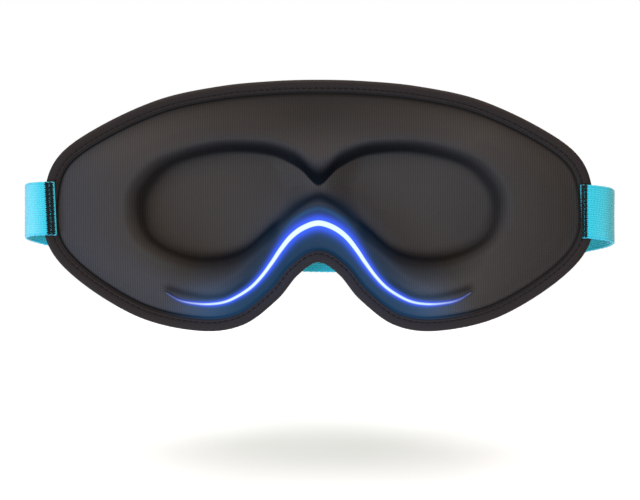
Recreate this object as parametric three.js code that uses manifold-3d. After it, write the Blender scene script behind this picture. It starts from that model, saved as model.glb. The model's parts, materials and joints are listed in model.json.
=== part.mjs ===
// Heated eye massager mask: a moulded soft body with an eye cup each side, an elastic strap with a
// ring and a slider, a light guide in the nose crease, and a control pod on the outer side.
// Millimetres. -Y faces the wearer, +Y faces away, +Z is up, and x = 0, z = 0 is the nose bridge.
import * as THREE from "three";
import { mergeVertices } from "three/addons/utils/BufferGeometryUtils.js";
import Module from "manifold-3d";

const wasm = await Module();
wasm.setup();

// ---------------------------------------------------------------- driving dimensions

const GAP = 0.3; // clearance between pieces that lie against each other
const SKIN = 0.6; // lining and cover fabric
const SLACK = 1.5; // room between the foams for the films and leads
const OUTER_FOAM = 2; // thickness of the outer foam sheet
const WRAP_RADIUS = 700; // the body's bend round the face

// The body's outline and the foot of the cup wall, as matching [x, z] stations from the top centre
// round the -X temple to the nose notch. The +X half mirrors them.
const STATIONS = [
  { outline: [0, 55.2], cup: [0, 10.2] },
  { outline: [-20, 54.6], cup: [-9, 16.6] },
  { outline: [-43, 52.3], cup: [-23, 23.2] },
  { outline: [-69, 46.5], cup: [-41.5, 24] },
  { outline: [-95, 34.5], cup: [-62, 18.6] },
  { outline: [-112, 21.8], cup: [-72.5, 8.8] },
  { outline: [-118, 6], cup: [-75, -1] },
  { outline: [-117, -15], cup: [-72, -11.8] },
  { outline: [-104, -31.3], cup: [-62.5, -18.8] },
  { outline: [-78, -47.5], cup: [-48, -22] },
  { outline: [-52, -53.6], cup: [-33, -18.8] },
  { outline: [-33, -51.2], cup: [-21, -9] },
  { outline: [-18, -40.2], cup: [-12.5, -2] },
  { outline: [-9, -29.5], cup: [-6, 2.8] },
  { outline: [0, -24], cup: [0, 6] },
];
const TEMPLE_STATION = 6;
const QUARTER_STEPS = 13; // vertices round each quarter of the body
const SPINE_SHARE = 0.7; // how far the cup's middle line reaches towards its temple end

// Rings from the panel edge in to the cup floor. face and back are the depths of the wearer's side
// and of the outer side, and bridge is the wearer's side at the nose bridge where it differs.
const RINGS = [
  { inset: 1.2, face: -1.9, back: 1.9, slack: GAP },
  { inset: 5.8, face: -2.1, back: 2.0, slack: GAP },
  { flank: 0.25, face: -5.8, back: 4.6, slack: SLACK },
  { flank: 0.5, face: -8.8, back: 6.6, slack: SLACK },
  { flank: 0.74, face: -9.8, back: 8.0, slack: SLACK },
  { flank: 0.9, face: -6.4, bridge: -8.2, back: 8.9, slack: SLACK },
  { flank: 1, face: 1.5, bridge: -5.4, back: 9.4, slack: SLACK },
  { floor: 0.35, face: 3.4, bridge: -5, back: 10.2, slack: SLACK },
];
const SPINE = { face: 4.2, bridge: -4.8, back: 10.6, slack: SLACK };
const BRIDGE_HALF = 22; // half width over which the cup floor rises to the bridge
const BRIDGE_DIP = 3; // how much lower the outer side is at the bridge

const BINDING = { width: 5.2, half: 3, fabric: 0.6, edge: 0.8 };
const STRAP = { width: 23, thick: 1.2, depth: 13.6 };
// The buckle run lies along a line from start; ring and slider are the places of their bars on it.
const BUCKLE = { start: [22, -16.4], end: 112, slope: 4.5 / 66, ring: 66, slider: 16, doubled: 5.3 };

const buckleAngle = Math.atan(BUCKLE.slope);
const ACROSS = new THREE.Vector3(-Math.sin(buckleAngle), 0, Math.cos(buckleAngle));

const GUIDE = { half: 1.3, tip: 0.35, crown: 1.1, lift: 0.45, stub: 1.2, steps: 54 };
const GUIDE_ROUTE = [
  [-66, -36.7], [-60, -40.2], [-53.5, -41.6], [-46.6, -41.9], [-40.2, -40.9], [-34.7, -38.4],
  [-29.2, -34.7], [-24.8, -30.2], [-20.3, -24.2], [-16.3, -18.3], [-11.8, -12.8], [-6.4, -8.9],
];
const GUIDE_APEX = [0, -7];

const MOTOR = { x: 86, y: -6.6, case: 5, wall: 0.9, half: 12, can: 3, weight: 2.7, shaft: 0.5 };
const LEAD = { width: 2.2, thick: 0.3 };

const POD = {
  z: 34, face: 8, top: 13.8, floor: 1.5, wall: 1.6,
  base: [56, 18, 4], cover: [62, 23, 6],
};
const BUTTON = { x: 12, radius: 4.5 };
const SCREW = { x: 23.8, z: 6.4, head: 1.7, shaft: 0.8, length: 9 };
const ROUND = 20; // segments of a small round piece

const COLOUR = {
  lining: 0x46413f, foam: 0xb9b7b0, foamOuter: 0x8f8f92, cover: 0x2f2f33, binding: 0x2a2524,
  strap: 0x26c3d6, thread: 0x151516, plastic: 0x232427, silicone: 0x33353a, metal: 0xb9bcc0,
  guide: 0x5a7bff, board: 0x1f6b46, film: 0xc98b3a, cell: 0x9aa3ad, led: 0xe8f1ff, lead: 0xd8d8d2,
};

// ---------------------------------------------------------------- helpers

const group = new THREE.Group();

function smooth(low, high, value) {
  return THREE.MathUtils.smoothstep(value, low, high);
}

// A closed geometry as a solid with its faces outwards.
function toSolid(geometry) {
  const bare = new THREE.BufferGeometry();
  bare.setAttribute("position", geometry.getAttribute("position").clone());
  if (geometry.index) bare.setIndex(geometry.index.clone());
  const merged = mergeVertices(bare, 1e-4);
  const triVerts = Uint32Array.from(merged.index.array);
  const vertProperties = merged.getAttribute("position").array;
  const solid = new wasm.Manifold(new wasm.Mesh({ numProp: 3, vertProperties, triVerts }));
  if (solid.volume() >= 0) return solid;
  for (let i = 0; i < triVerts.length; i += 3) {
    [triVerts[i + 1], triVerts[i + 2]] = [triVerts[i + 2], triVerts[i + 1]];
  }
  return new wasm.Manifold(new wasm.Mesh({ numProp: 3, vertProperties, triVerts }));
}

function toGeometry(solid) {
  const mesh = solid.getMesh();
  const geometry = new THREE.BufferGeometry();
  geometry.setAttribute("position", new THREE.BufferAttribute(mesh.vertProperties, 3));
  geometry.setIndex(new THREE.BufferAttribute(mesh.triVerts, 1));
  return geometry;
}

// One solid from a body, the pieces added to it and the pieces cut from it.
function build(body, { add = [], cut = [] } = {}) {
  let solid = toSolid(body);
  for (const geometry of add) solid = solid.add(toSolid(geometry));
  for (const geometry of cut) solid = solid.subtract(toSolid(geometry));
  return toGeometry(solid);
}

function place(name, geometry, color, roughness, metalness = 0, parent = group) {
  const material = new THREE.MeshStandardMaterial({ color, roughness, metalness });
  const mesh = new THREE.Mesh(geometry, material);
  mesh.name = name;
  parent.add(mesh);
  return mesh;
}

// A box between two corners.
function block(low, high) {
  const size = high.map((value, axis) => value - low[axis]);
  const centre = high.map((value, axis) => (value + low[axis]) / 2);
  return new THREE.BoxGeometry(...size).translate(...centre);
}

// A rounded rectangle of the given width, height and corner radius.
function roundedRectangle(width, height, radius) {
  const shape = new THREE.Shape();
  const x = width / 2 - radius;
  const y = height / 2 - radius;
  shape.absarc(x, y, radius, 0, Math.PI / 2);
  shape.absarc(-x, y, radius, Math.PI / 2, Math.PI);
  shape.absarc(-x, -y, radius, Math.PI, 1.5 * Math.PI);
  shape.absarc(x, -y, radius, 1.5 * Math.PI, 2 * Math.PI);
  return shape;
}

// A flat shape extruded along +Y from depth low to depth high, centred on x = 0, z = centre.
function plate(shape, low, high, centre = 0, bevel = 0) {
  const options = { depth: high - low - 2 * bevel, curveSegments: 4, bevelEnabled: bevel > 0 };
  if (bevel > 0) Object.assign(options, { bevelThickness: bevel, bevelSize: bevel });
  if (bevel > 0) Object.assign(options, { bevelOffset: -bevel, bevelSegments: 1 });
  const geometry = new THREE.ExtrudeGeometry(shape, options);
  return geometry.rotateX(-Math.PI / 2).translate(0, low + bevel, centre);
}

// A round body turned about an axis along Y through (x, z): profile is [radius, y] pairs.
function turned(profile, x, z, segments = ROUND) {
  const points = profile.map(([radius, y]) => new THREE.Vector2(radius, y));
  return new THREE.LatheGeometry(points, segments).translate(x, 0, z);
}

function rod(radius, low, high, x, z, segments = ROUND) {
  return turned([[0, low], [radius, low], [radius, high], [0, high]], x, z, segments);
}

// A skin over sections of equal length, closed round on itself or capped at both ends.
function loft(sections, closed = false) {
  const count = sections[0].length;
  const position = sections.flat().flatMap((point) => point.toArray());
  const index = [];
  const last = closed ? sections.length : sections.length - 1;
  for (let s = 0; s < last; s++) {
    const next = ((s + 1) % sections.length) * count;
    for (let k = 0; k < count; k++) {
      const a = s * count + k;
      const b = s * count + ((k + 1) % count);
      const c = next + ((k + 1) % count);
      const d = next + k;
      index.push(a, b, c, a, c, d);
    }
  }
  for (let k = 1; k < count - 1 && !closed; k++) {
    const end = (sections.length - 1) * count;
    index.push(0, k + 1, k, end, end + k, end + k + 1);
  }
  const geometry = new THREE.BufferGeometry();
  geometry.setAttribute("position", new THREE.Float32BufferAttribute(position, 3));
  return geometry.setIndex(index);
}

// A flat band of the given width and thickness along a path. The band's width lies close to +Z, or
// square to the buckle run on the points that belong to it.
function band(path, width, thick) {
  const sections = path.map((point, i) => {
    const before = path[Math.max(i - 1, 0)];
    const after = path[Math.min(i + 1, path.length - 1)];
    const along = after.clone().sub(before).normalize();
    const lean = onBuckle(point) ? ACROSS : new THREE.Vector3(0, 0, 1);
    const across = lean.clone().addScaledVector(along, -along.dot(lean)).normalize();
    const out = along.clone().cross(across);
    const corner = (w, t) =>
      point.clone().addScaledVector(across, w * width / 2).addScaledVector(out, t * thick / 2);
    return [corner(-1, -1), corner(1, -1), corner(1, 1), corner(-1, 1)];
  });
  return loft(sections);
}

function onBuckle(point) {
  const { start, end } = BUCKLE;
  return point.x > start[0] && point.x < end && point.y > STRAP.depth - 0.5;
}

function curveThrough(points, steps) {
  const controls = points.map((point) => new THREE.Vector3(...point));
  return new THREE.CatmullRomCurve3(controls, false, "centripetal").getPoints(steps);
}

// ---------------------------------------------------------------- the soft body's surface

const mirrored = STATIONS.slice(1, -1).reverse().map(({ outline, cup }) => ({
  outline: [-outline[0], outline[1]],
  cup: [-cup[0], cup[1]],
}));
const LOOP = [...STATIONS, ...mirrored];
const COUNT = 4 * QUARTER_STEPS;

function loopCurve(key) {
  const points = LOOP.map((station) => new THREE.Vector3(station[key][0], 0, station[key][1]));
  return new THREE.CatmullRomCurve3(points, true, "catmullrom", 0.5);
}

// The share of the loop at vertex j, with as many steps in each quarter.
function loopShare(j) {
  const quarter = Math.floor(j / QUARTER_STEPS) % 4;
  const into = (j % QUARTER_STEPS) / QUARTER_STEPS;
  const notch = STATIONS.length - 1;
  const marks = [0, TEMPLE_STATION, notch, 2 * notch - TEMPLE_STATION, 2 * notch];
  return THREE.MathUtils.lerp(marks[quarter], marks[quarter + 1], into) / LOOP.length;
}

function sampled(key) {
  const curve = loopCurve(key);
  return Array.from({ length: COUNT }, (_, j) => ({
    point: curve.getPoint(loopShare(j)),
    tangent: curve.getTangent(loopShare(j)),
  }));
}

const outline = sampled("outline");
const cup = sampled("cup");

function insetPoint(j, inset) {
  const { point, tangent } = outline[j];
  const flat = new THREE.Vector3(-tangent.z, 0, tangent.x).normalize();
  return point.clone().addScaledVector(flat, inset);
}

// The spine column under vertex j, counted from the -X end of the cups' middle line.
function columnOf(j) {
  const k = ((j % COUNT) + COUNT) % COUNT;
  const side = k <= COUNT / 2 ? -1 : 1;
  const fromTop = side < 0 ? k : COUNT - k;
  const steps = fromTop <= QUARTER_STEPS ? fromTop : COUNT / 2 - fromTop;
  return QUARTER_STEPS + side * steps;
}

const spine = Array.from({ length: 2 * QUARTER_STEPS + 1 }, (_, column) => {
  const steps = Math.abs(column - QUARTER_STEPS);
  const right = column > QUARTER_STEPS;
  const top = cup[right ? (COUNT - steps) % COUNT : steps].point;
  const bottom = cup[right ? COUNT / 2 + steps : COUNT / 2 - steps].point;
  return new THREE.Vector3(SPINE_SHARE * (top.x + bottom.x) / 2, 0, (top.z + bottom.z) / 2);
});

function wrap(x) {
  return -(x * x) / (2 * WRAP_RADIUS);
}

// How far a point belongs to the flat patch under the control pod, from 0 to 1.
function patch(x, z) {
  return (1 - smooth(34, 46, Math.abs(x))) * smooth(15, 23, z) * (1 - smooth(44, 50, z));
}

// The depths of every layer boundary at a point of a ring.
function surfacePoint(point, ring, cupX) {
  const open = smooth(2, BRIDGE_HALF, Math.abs(cupX));
  const face = THREE.MathUtils.lerp(ring.bridge ?? ring.face, ring.face, open);
  const dip = BRIDGE_DIP * (1 - smooth(0, 30, Math.abs(point.x))) * smooth(2, 8, ring.back);
  const back = THREE.MathUtils.lerp(ring.back - dip + wrap(point.x), POD.face,
    ring.slack > GAP ? patch(point.x, point.z) : 0);
  const middle = ring.slack > GAP ? back - SKIN - GAP - OUTER_FOAM - ring.slack / 2 : wrap(point.x);
  return { x: point.x, z: point.z, face: face + wrap(point.x), back, middle, slack: ring.slack };
}

// All vertices and triangles of the body, as one sheet that every layer shares.
const sheet = { points: [], triangles: [] };
RINGS.forEach((ring) => {
  for (let j = 0; j < COUNT; j++) {
    const from = insetPoint(j, RINGS[1].inset);
    const under = spine[columnOf(j)];
    let point = from;
    if (ring.inset) point = insetPoint(j, ring.inset);
    if (ring.flank) point = from.clone().lerp(cup[j].point, ring.flank);
    if (ring.floor) point = cup[j].point.clone().lerp(under, ring.floor);
    const cupX = THREE.MathUtils.lerp(cup[j].point.x, under.x / SPINE_SHARE, ring.floor ?? 0);
    sheet.points.push(surfacePoint(point, ring, cupX));
  }
});
const SPINE_START = sheet.points.length;
spine.forEach((point) => sheet.points.push(surfacePoint(point, SPINE, point.x / SPINE_SHARE)));
for (let r = 0; r < RINGS.length; r++) {
  for (let j = 0; j < COUNT; j++) {
    const next = (j + 1) % COUNT;
    const last = r === RINGS.length - 1;
    const a = r * COUNT + j;
    const b = r * COUNT + next;
    const c = last ? SPINE_START + columnOf(next) : b + COUNT;
    const d = last ? SPINE_START + columnOf(j) : a + COUNT;
    sheet.triangles.push([a, b, c], [a, c, d]);
  }
}

// A solid between two depths over a sheet of triangles.
function slab({ points, triangles }, low, high) {
  const used = [...new Set(triangles.flat())];
  const slot = new Map(used.map((vertex, i) => [vertex, i]));
  const position = [];
  for (const depth of [low, high]) {
    for (const vertex of used) {
      position.push(points[vertex].x, depth(points[vertex]), points[vertex].z);
    }
  }
  const edges = new Set(triangles.flatMap(([a, b, c]) => [`${a} ${b}`, `${b} ${c}`, `${c} ${a}`]));
  const index = [];
  const top = used.length;
  for (const corners of triangles) {
    const [a, b, c] = corners.map((vertex) => slot.get(vertex));
    index.push(a, b, c, a + top, c + top, b + top);
  }
  for (const edge of edges) {
    const [from, to] = edge.split(" ").map(Number);
    if (edges.has(`${to} ${from}`)) continue;
    const [a, b] = [slot.get(from), slot.get(to)];
    index.push(a, b + top, b, a, a + top, b + top);
  }
  const geometry = new THREE.BufferGeometry();
  geometry.setAttribute("position", new THREE.Float32BufferAttribute(position, 3));
  return geometry.setIndex(index);
}

// A layer boundary's depth at any x, z of the body.
function depthAt(key, x, z) {
  for (const [ia, ib, ic] of sheet.triangles) {
    const [a, b, c] = [sheet.points[ia], sheet.points[ib], sheet.points[ic]];
    const area = (b.x - a.x) * (c.z - a.z) - (c.x - a.x) * (b.z - a.z);
    const u = ((b.x - x) * (c.z - z) - (c.x - x) * (b.z - z)) / area;
    const v = ((c.x - x) * (a.z - z) - (a.x - x) * (c.z - z)) / area;
    if (u >= -1e-6 && v >= -1e-6 && u + v <= 1 + 1e-6) {
      return u * a[key] + v * b[key] + (1 - u - v) * c[key];
    }
  }
  throw new Error(`(${x}, ${z}) is outside the body`);
}

// ---------------------------------------------------------------- soft layers

const ledDepth = depthAt("middle", ...GUIDE_APEX);
const stubHole = rod(GUIDE.stub + GAP, -14, ledDepth, ...GUIDE_APEX, 12);
const ledPocket = block([-9, ledDepth - 2.9, -11], [9, ledDepth + 1, -3]);
const podWell = plate(
  roundedRectangle(POD.base[0] + 0.8, POD.base[1] + 0.8, POD.base[2] + 0.4),
  POD.floor - 0.4, POD.top, POD.z,
);
const sensorDepth = depthAt("middle", -44, 6);
const sensorPocket = block([-46.2, sensorDepth - 2.3, 4.6], [-41.8, sensorDepth, 7.4]);

function motorWell(side) {
  const well = rod(MOTOR.case + 0.5, -MOTOR.half - 0.5, MOTOR.half + 0.5, 0, 0, 16);
  return well.rotateX(Math.PI / 2).translate(side * MOTOR.x, MOTOR.y, 0);
}

function motorMouth(side) {
  const x = side * MOTOR.x;
  return block([x - 2.4, MOTOR.y - 2, MOTOR.half - 1], [x + 2.4, MOTOR.y + 9, MOTOR.half + 5]);
}

const lining = slab(sheet, (p) => p.face, (p) => p.face + SKIN);
place("face_lining", build(lining, { cut: [stubHole] }), COLOUR.lining, 0.95);

const innerFoam = slab(sheet, (p) => p.face + SKIN + GAP, (p) => p.middle - p.slack / 2);
place("inner_foam", build(innerFoam, {
  cut: [stubHole, ledPocket, podWell, sensorPocket, ...[-1, 1].flatMap((side) => [
    motorWell(side), motorMouth(side),
  ])],
}), COLOUR.foam, 0.9);

const outerFoam = slab(sheet, (p) => p.middle + p.slack / 2, (p) => p.back - SKIN - GAP);
place("outer_foam", build(outerFoam, { cut: [podWell, ledPocket] }), COLOUR.foamOuter, 0.9);

const cover = slab(sheet, (p) => p.back - SKIN, (p) => p.back);
place("outer_cover", build(cover, { cut: [podWell] }), COLOUR.cover, 0.85);

// The binding is a U of tape folded over the edge of all layers.
function bindingSection(j) {
  const { width, half, fabric, edge } = BINDING;
  const profile = [
    [width, -half], [edge, -half], [0, -half + edge], [0, half - edge], [edge, half],
    [width, half], [width, half - fabric], [fabric, half - fabric],
    [fabric, fabric - half], [width, fabric - half],
  ];
  return profile.map(([inset, depth]) => {
    const point = insetPoint(j, inset);
    return point.setY(depth + wrap(point.x));
  });
}
const bindingSections = Array.from({ length: COUNT }, (_, j) => bindingSection(j));
place("edge_binding", loft(bindingSections, true), COLOUR.binding, 0.9);

// ---------------------------------------------------------------- heat, light and their leads

// Triangles of one cup's floor, away from the bridge.
function cupFloor(side) {
  const first = RINGS.findIndex((ring) => ring.flank === 1) * COUNT;
  return sheet.triangles.filter((triangle) => triangle.every((vertex) => {
    const { x, z } = sheet.points[vertex];
    return vertex >= first && side * x > 12 && Math.abs(z) < 30;
  }));
}

for (const [label, side] of [["left", -1], ["right", 1]]) {
  const film = { points: sheet.points, triangles: cupFloor(side) };
  place(`heating_film_${label}`,
    slab(film, (p) => p.middle - 0.15, (p) => p.middle + 0.15), COLOUR.film, 0.4, 0.3);
}
place("temperature_sensor",
  block([-45.6, sensorDepth - 1.9, 5.1], [-42.4, sensorDepth - 0.5, 6.9]), COLOUR.plastic, 0.5);

// A flat lead between the foams, through [x, z] points.
function lead(name, route) {
  const path = curveThrough(route.map(([x, z]) => [x, 0, z]), 7 * (route.length - 1));
  const points = [];
  const triangles = [];
  path.forEach((point, i) => {
    const before = path[Math.max(i - 1, 0)];
    const after = path[Math.min(i + 1, path.length - 1)];
    const along = after.clone().sub(before).normalize();
    for (const half of [-LEAD.width / 2, LEAD.width / 2]) {
      const x = point.x + half * along.z;
      const z = point.z - half * along.x;
      points.push({ x, z, middle: depthAt("middle", x, z) });
    }
    if (i === 0) return;
    const a = 2 * i - 2;
    triangles.push([a, a + 1, a + 3], [a, a + 3, a + 2]);
  });
  const half = LEAD.thick / 2;
  place(name, slab({ points, triangles }, (p) => p.middle - half, (p) => p.middle + half),
    COLOUR.lead, 0.6);
}

for (const [label, side] of [["left", -1], ["right", 1]]) {
  lead(`heater_lead_${label}`, [
    [side * 24.6, 32.4], [side * 29, 32.2], [side * 33.5, 29.5], [side * 35, 24.5],
  ]);
  lead(`motor_lead_${label}`, [
    [side * 24.6, 35.4], [side * 30, 35.6], [side * 48, 33.5], [side * 66, 27], [side * 79, 20],
    [side * MOTOR.x, 15.5],
  ]);
}
lead("led_lead", [[0, 27.4], [0, 20], [0, 12], [0, 5], [0, -3.2]]);

place("led_board", block([-8, ledDepth - 0.4, -10], [8, ledDepth + 0.4, -4]), COLOUR.board, 0.5);
for (const [label, x] of [["left", -2.6], ["right", 2.6]]) {
  const low = [x - 1.6, ledDepth - 0.7 - 0.9, -8.2];
  place(`led_${label}`, block(low, [x + 1.6, ledDepth - 0.7, -5.8]), COLOUR.led, 0.3);
}

// The light guide: a tapering D of clear silicone along the nose crease, with a stub at its apex.
function guideSections() {
  const half = GUIDE_ROUTE.map(([x, z]) => [x, 0, z]);
  const other = GUIDE_ROUTE.map(([x, z]) => [-x, 0, z]).reverse();
  const route = curveThrough([...half, [GUIDE_APEX[0], 0, GUIDE_APEX[1]], ...other], GUIDE.steps);
  return route.map((point, i) => {
    const along = route[Math.min(i + 1, GUIDE.steps)].clone().sub(route[Math.max(i - 1, 0)]).normalize();
    const taper = Math.sin(Math.PI * i / GUIDE.steps) ** 0.6;
    const wide = GUIDE.tip + (GUIDE.half - GUIDE.tip) * taper;
    const tall = GUIDE.crown * (0.4 + 0.6 * taper);
    const profile = [[-wide, 0], [-0.75 * wide, tall * 0.7], [0, tall], [0.75 * wide, tall * 0.7],
      [wide, 0]];
    return profile.map(([out, height]) => {
      const x = point.x + out * along.z;
      const z = point.z - out * along.x;
      return new THREE.Vector3(x, depthAt("face", x, z) - GUIDE.lift - height, z);
    });
  });
}
const stubTop = depthAt("face", ...GUIDE_APEX) - GUIDE.lift - 0.5;
place("light_guide", build(loft(guideSections()), {
  add: [rod(GUIDE.stub, stubTop, ledDepth - 2, ...GUIDE_APEX, 12)],
}), COLOUR.guide, 0.3);

// ---------------------------------------------------------------- vibration motors

// A round body along Z, turned from [radius, z] pairs, centred on the motor of one side.
function motorPiece(profile, side) {
  const points = profile.map(([radius, z]) => new THREE.Vector2(radius, z));
  const body = new THREE.LatheGeometry(points, 16).rotateX(Math.PI / 2);
  return body.translate(side * MOTOR.x, MOTOR.y, 0);
}

for (const [label, side] of [["left", -1], ["right", 1]]) {
  const inner = MOTOR.case - MOTOR.wall;
  const end = MOTOR.half;
  place(`motor_case_${label}`, motorPiece([
    [1.8, -end], [MOTOR.case - 0.8, -end], [MOTOR.case, 0.8 - end], [MOTOR.case, end - 0.8],
    [MOTOR.case - 0.8, end], [0, end], [0, end - 1], [inner, end - 1], [inner, 1 - end],
    [1.8, 1 - end], [1.8, -end],
  ], side), COLOUR.plastic, 0.5);
  place(`motor_sleeve_${label}`, motorPiece([
    [MOTOR.can + GAP, -8.5], [inner - GAP, -8.5], [inner - GAP, 0.5], [MOTOR.can + GAP, 0.5],
    [MOTOR.can + GAP, -8.5],
  ], side), COLOUR.silicone, 0.8);
  place(`motor_${label}`, motorPiece([
    [0, -9.5], [MOTOR.can, -9.5], [MOTOR.can, 2], [MOTOR.shaft + GAP, 2], [MOTOR.shaft + GAP, -2],
    [0, -2], [0, -9.5],
  ], side), COLOUR.metal, 0.3, 0.9);

  const shaft = motorPiece([[0, -1.4], [MOTOR.shaft, -1.4], [MOTOR.shaft, 8.5], [0, 8.5]], side);
  const disc = motorPiece([[0, 3], [MOTOR.weight, 3], [MOTOR.weight, 8], [0, 8]], side);
  const x = side * MOTOR.x;
  const clearance = block([x - 4, MOTOR.y + 0.6, -9], [x + 4, MOTOR.y + 4, 0]);
  const weight = toSolid(disc).subtract(toSolid(clearance)).add(toSolid(shaft));
  place(`motor_weight_${label}`, toGeometry(weight), COLOUR.metal, 0.35, 0.9);
}

// ---------------------------------------------------------------- control pod

const [coverWidth, coverHeight, coverCorner] = POD.cover;
const [baseWidth, baseHeight, baseCorner] = POD.base;
const baseTop = POD.face;
const coverLow = POD.face + GAP;
const roof = POD.top - POD.wall;
const corners = [[-1, -1], [1, -1], [-1, 1], [1, 1]];
const posts = corners.map(([sx, sz]) => [sx * SCREW.x, POD.z + sz * SCREW.z]);

const mouthZ = [POD.z - 4.5, POD.z + 4.5];
const socketLow = coverLow + 0.4;
const socketHigh = socketLow + 3;
place("pod_cover", build(
  plate(roundedRectangle(coverWidth, coverHeight, coverCorner), coverLow - 2, POD.top, POD.z, 1.2),
  {
    cut: [
      block([-40, coverLow - 3, POD.z - 20], [40, coverLow, POD.z + 20]),
      plate(roundedRectangle(coverWidth - 2 * POD.wall, coverHeight - 2 * POD.wall,
        coverCorner - POD.wall), coverLow - 1, roof, POD.z),
      rod(BUTTON.radius + 0.4, roof - 1, POD.top + 1, -BUTTON.x, POD.z, 24),
      rod(BUTTON.radius + 0.4, roof - 1, POD.top + 1, BUTTON.x, POD.z, 24),
      rod(1.5, roof - 1, POD.top + 1, 0, POD.z, 12),
      block([-34, socketLow - 0.4, mouthZ[0]], [-28, socketHigh + 0.4, mouthZ[1]]),
    ],
  },
), COLOUR.plastic, 0.45);

// Screw bosses hang from the cover's roof; each is a tube with a bore for its screw.
const podCover = group.getObjectByName("pod_cover");
posts.forEach(([x, z]) => {
  podCover.geometry = build(podCover.geometry, {
    add: [rod(1.8, coverLow + 0.3, roof + 0.4, x, z, 12)],
    cut: [rod(SCREW.shaft + GAP, coverLow - 1, roof - 0.4, x, z, 12)],
  });
});

const slotDepth = POD.face - SKIN - GAP - OUTER_FOAM - SLACK / 2;
place("pod_base", build(
  plate(roundedRectangle(baseWidth, baseHeight, baseCorner), POD.floor, baseTop, POD.z),
  {
    cut: [
      plate(roundedRectangle(baseWidth - 2.8, baseHeight - 2.8, baseCorner - 1.4),
        POD.floor + 1.2, baseTop + 1, POD.z),
      ...[-1, 1].map((side) => block(
        [side * 28 - 3, slotDepth - 0.8, POD.z - 3.4], [side * 28 + 3, slotDepth + 0.8, POD.z + 3.2],
      )),
      block([-2, slotDepth - 0.8, POD.z - 11], [2, slotDepth + 0.8, POD.z - 6.5]),
    ],
  },
), COLOUR.plastic, 0.5);
const podBase = group.getObjectByName("pod_base");
posts.forEach(([x, z]) => {
  podBase.geometry = build(podBase.geometry, {
    add: [rod(2.4, POD.floor + 0.4, baseTop - 0.6, x, z, 14)],
    cut: [
      rod(SCREW.shaft + GAP, POD.floor - 1, baseTop + 1, x, z, 12),
      rod(SCREW.head + GAP, POD.floor - 1, POD.floor + 1.7, x, z, 14),
    ],
  });
});
posts.forEach(([x, z], i) => {
  const low = POD.floor + 0.2;
  place(`pod_screw_${i + 1}`, turned([
    [0, low], [SCREW.head, low], [SCREW.head, low + 1.2], [SCREW.shaft, low + 1.2],
    [SCREW.shaft, low + SCREW.length], [0, low + SCREW.length],
  ], x, z, 12), COLOUR.metal, 0.35, 0.9);
});

place("battery",
  block([-19, POD.floor + 1.6, POD.z - 6], [19, POD.floor + 6, POD.z + 6]), COLOUR.cell, 0.4);
place("circuit_board",
  block([-20, coverLow + 0.2, POD.z - 7.5], [20, coverLow + 1, POD.z + 7.5]), COLOUR.board, 0.5);

const boardTop = coverLow + 1;
const buttonTop = POD.top - GAP;
for (const [label, x] of [["heat", -BUTTON.x], ["massage", BUTTON.x]]) {
  place(`${label}_switch`, build(
    block([x - 3, boardTop + GAP, POD.z - 3], [x + 3, boardTop + 1, POD.z + 3]),
    { add: [rod(1.6, boardTop + 0.6, boardTop + 1.3, x, POD.z, 12)] },
  ), COLOUR.metal, 0.4, 0.6);
  place(`${label}_button`, turned([
    [0, roof - 0.7], [BUTTON.radius + 1, roof - 0.7], [BUTTON.radius + 1, roof - GAP],
    [BUTTON.radius, roof - GAP], [BUTTON.radius, buttonTop - 0.4],
    [BUTTON.radius - 0.5, buttonTop], [2.6, buttonTop - 0.25], [0, buttonTop - 0.35],
  ], x, POD.z, 24), COLOUR.silicone, 0.7);
}
place("status_lens", turned([
  [0, roof - 1], [1.9, roof - 1], [1.9, roof - GAP], [1.2, roof - GAP], [1.2, POD.top - 0.2],
  [0, POD.top - 0.2],
], 0, POD.z, 12), COLOUR.led, 0.2);
place("status_led",
  block([-0.8, boardTop + GAP, POD.z - 0.8], [0.8, boardTop + 1, POD.z + 0.8]), COLOUR.led, 0.3);

// The charging socket opens towards -X; a tongue stands in its mouth.
const socketMiddle = (socketLow + socketHigh) / 2;
const socketShell = block([-30.6, socketLow, POD.z - 4.2], [-21, socketHigh, POD.z + 4.2]);
const socketMouth = block([-31, socketLow + 0.5, POD.z - 3.7], [-22.4, socketHigh - 0.5, POD.z + 3.7]);
const tongue = block([-29.6, socketMiddle - 0.3, POD.z - 3], [-22, socketMiddle + 0.3, POD.z + 3]);
place("charging_socket",
  build(toGeometry(toSolid(socketShell).subtract(toSolid(socketMouth))), { add: [tongue] }),
  COLOUR.metal, 0.35, 0.8);

// The port cover is a silicone flap over the socket's mouth, hinged on the pod's end.
const flapX = -coverWidth / 2 - GAP;
place("port_cover", build(
  block([flapX - 1.2, coverLow + 0.1, POD.z - 5], [flapX, socketHigh + 0.8, POD.z + 5]),
), COLOUR.silicone, 0.8);

// ---------------------------------------------------------------- strap, ring and slider

const buckle = new THREE.Group();
buckle.position.set(BUCKLE.start[0], 0, BUCKLE.start[1]);
buckle.rotation.y = -buckleAngle;
group.add(buckle);

// A point of the buckle run in the body's frame: distance along the strap and depth.
function onStrap(along, depth) {
  return [
    BUCKLE.start[0] + along * Math.cos(buckleAngle), depth,
    BUCKLE.start[1] + along * Math.sin(buckleAngle),
  ];
}

// Points of a half turn about a bar across the strap, from the lower layer to the doubled one.
function halfTurn(along, towards) {
  const radius = BUCKLE.doubled / 2;
  return Array.from({ length: 7 }, (_, i) => {
    const angle = -Math.PI / 2 + (Math.PI * i) / 6;
    const out = towards * radius * Math.cos(angle);
    return onStrap(along + out, STRAP.depth + radius + radius * Math.sin(angle));
  });
}

function straight(from, to, depth, steps) {
  return Array.from({ length: steps + 1 }, (_, i) =>
    new THREE.Vector3(...onStrap(from + ((to - from) * i) / steps, depth)));
}

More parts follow.
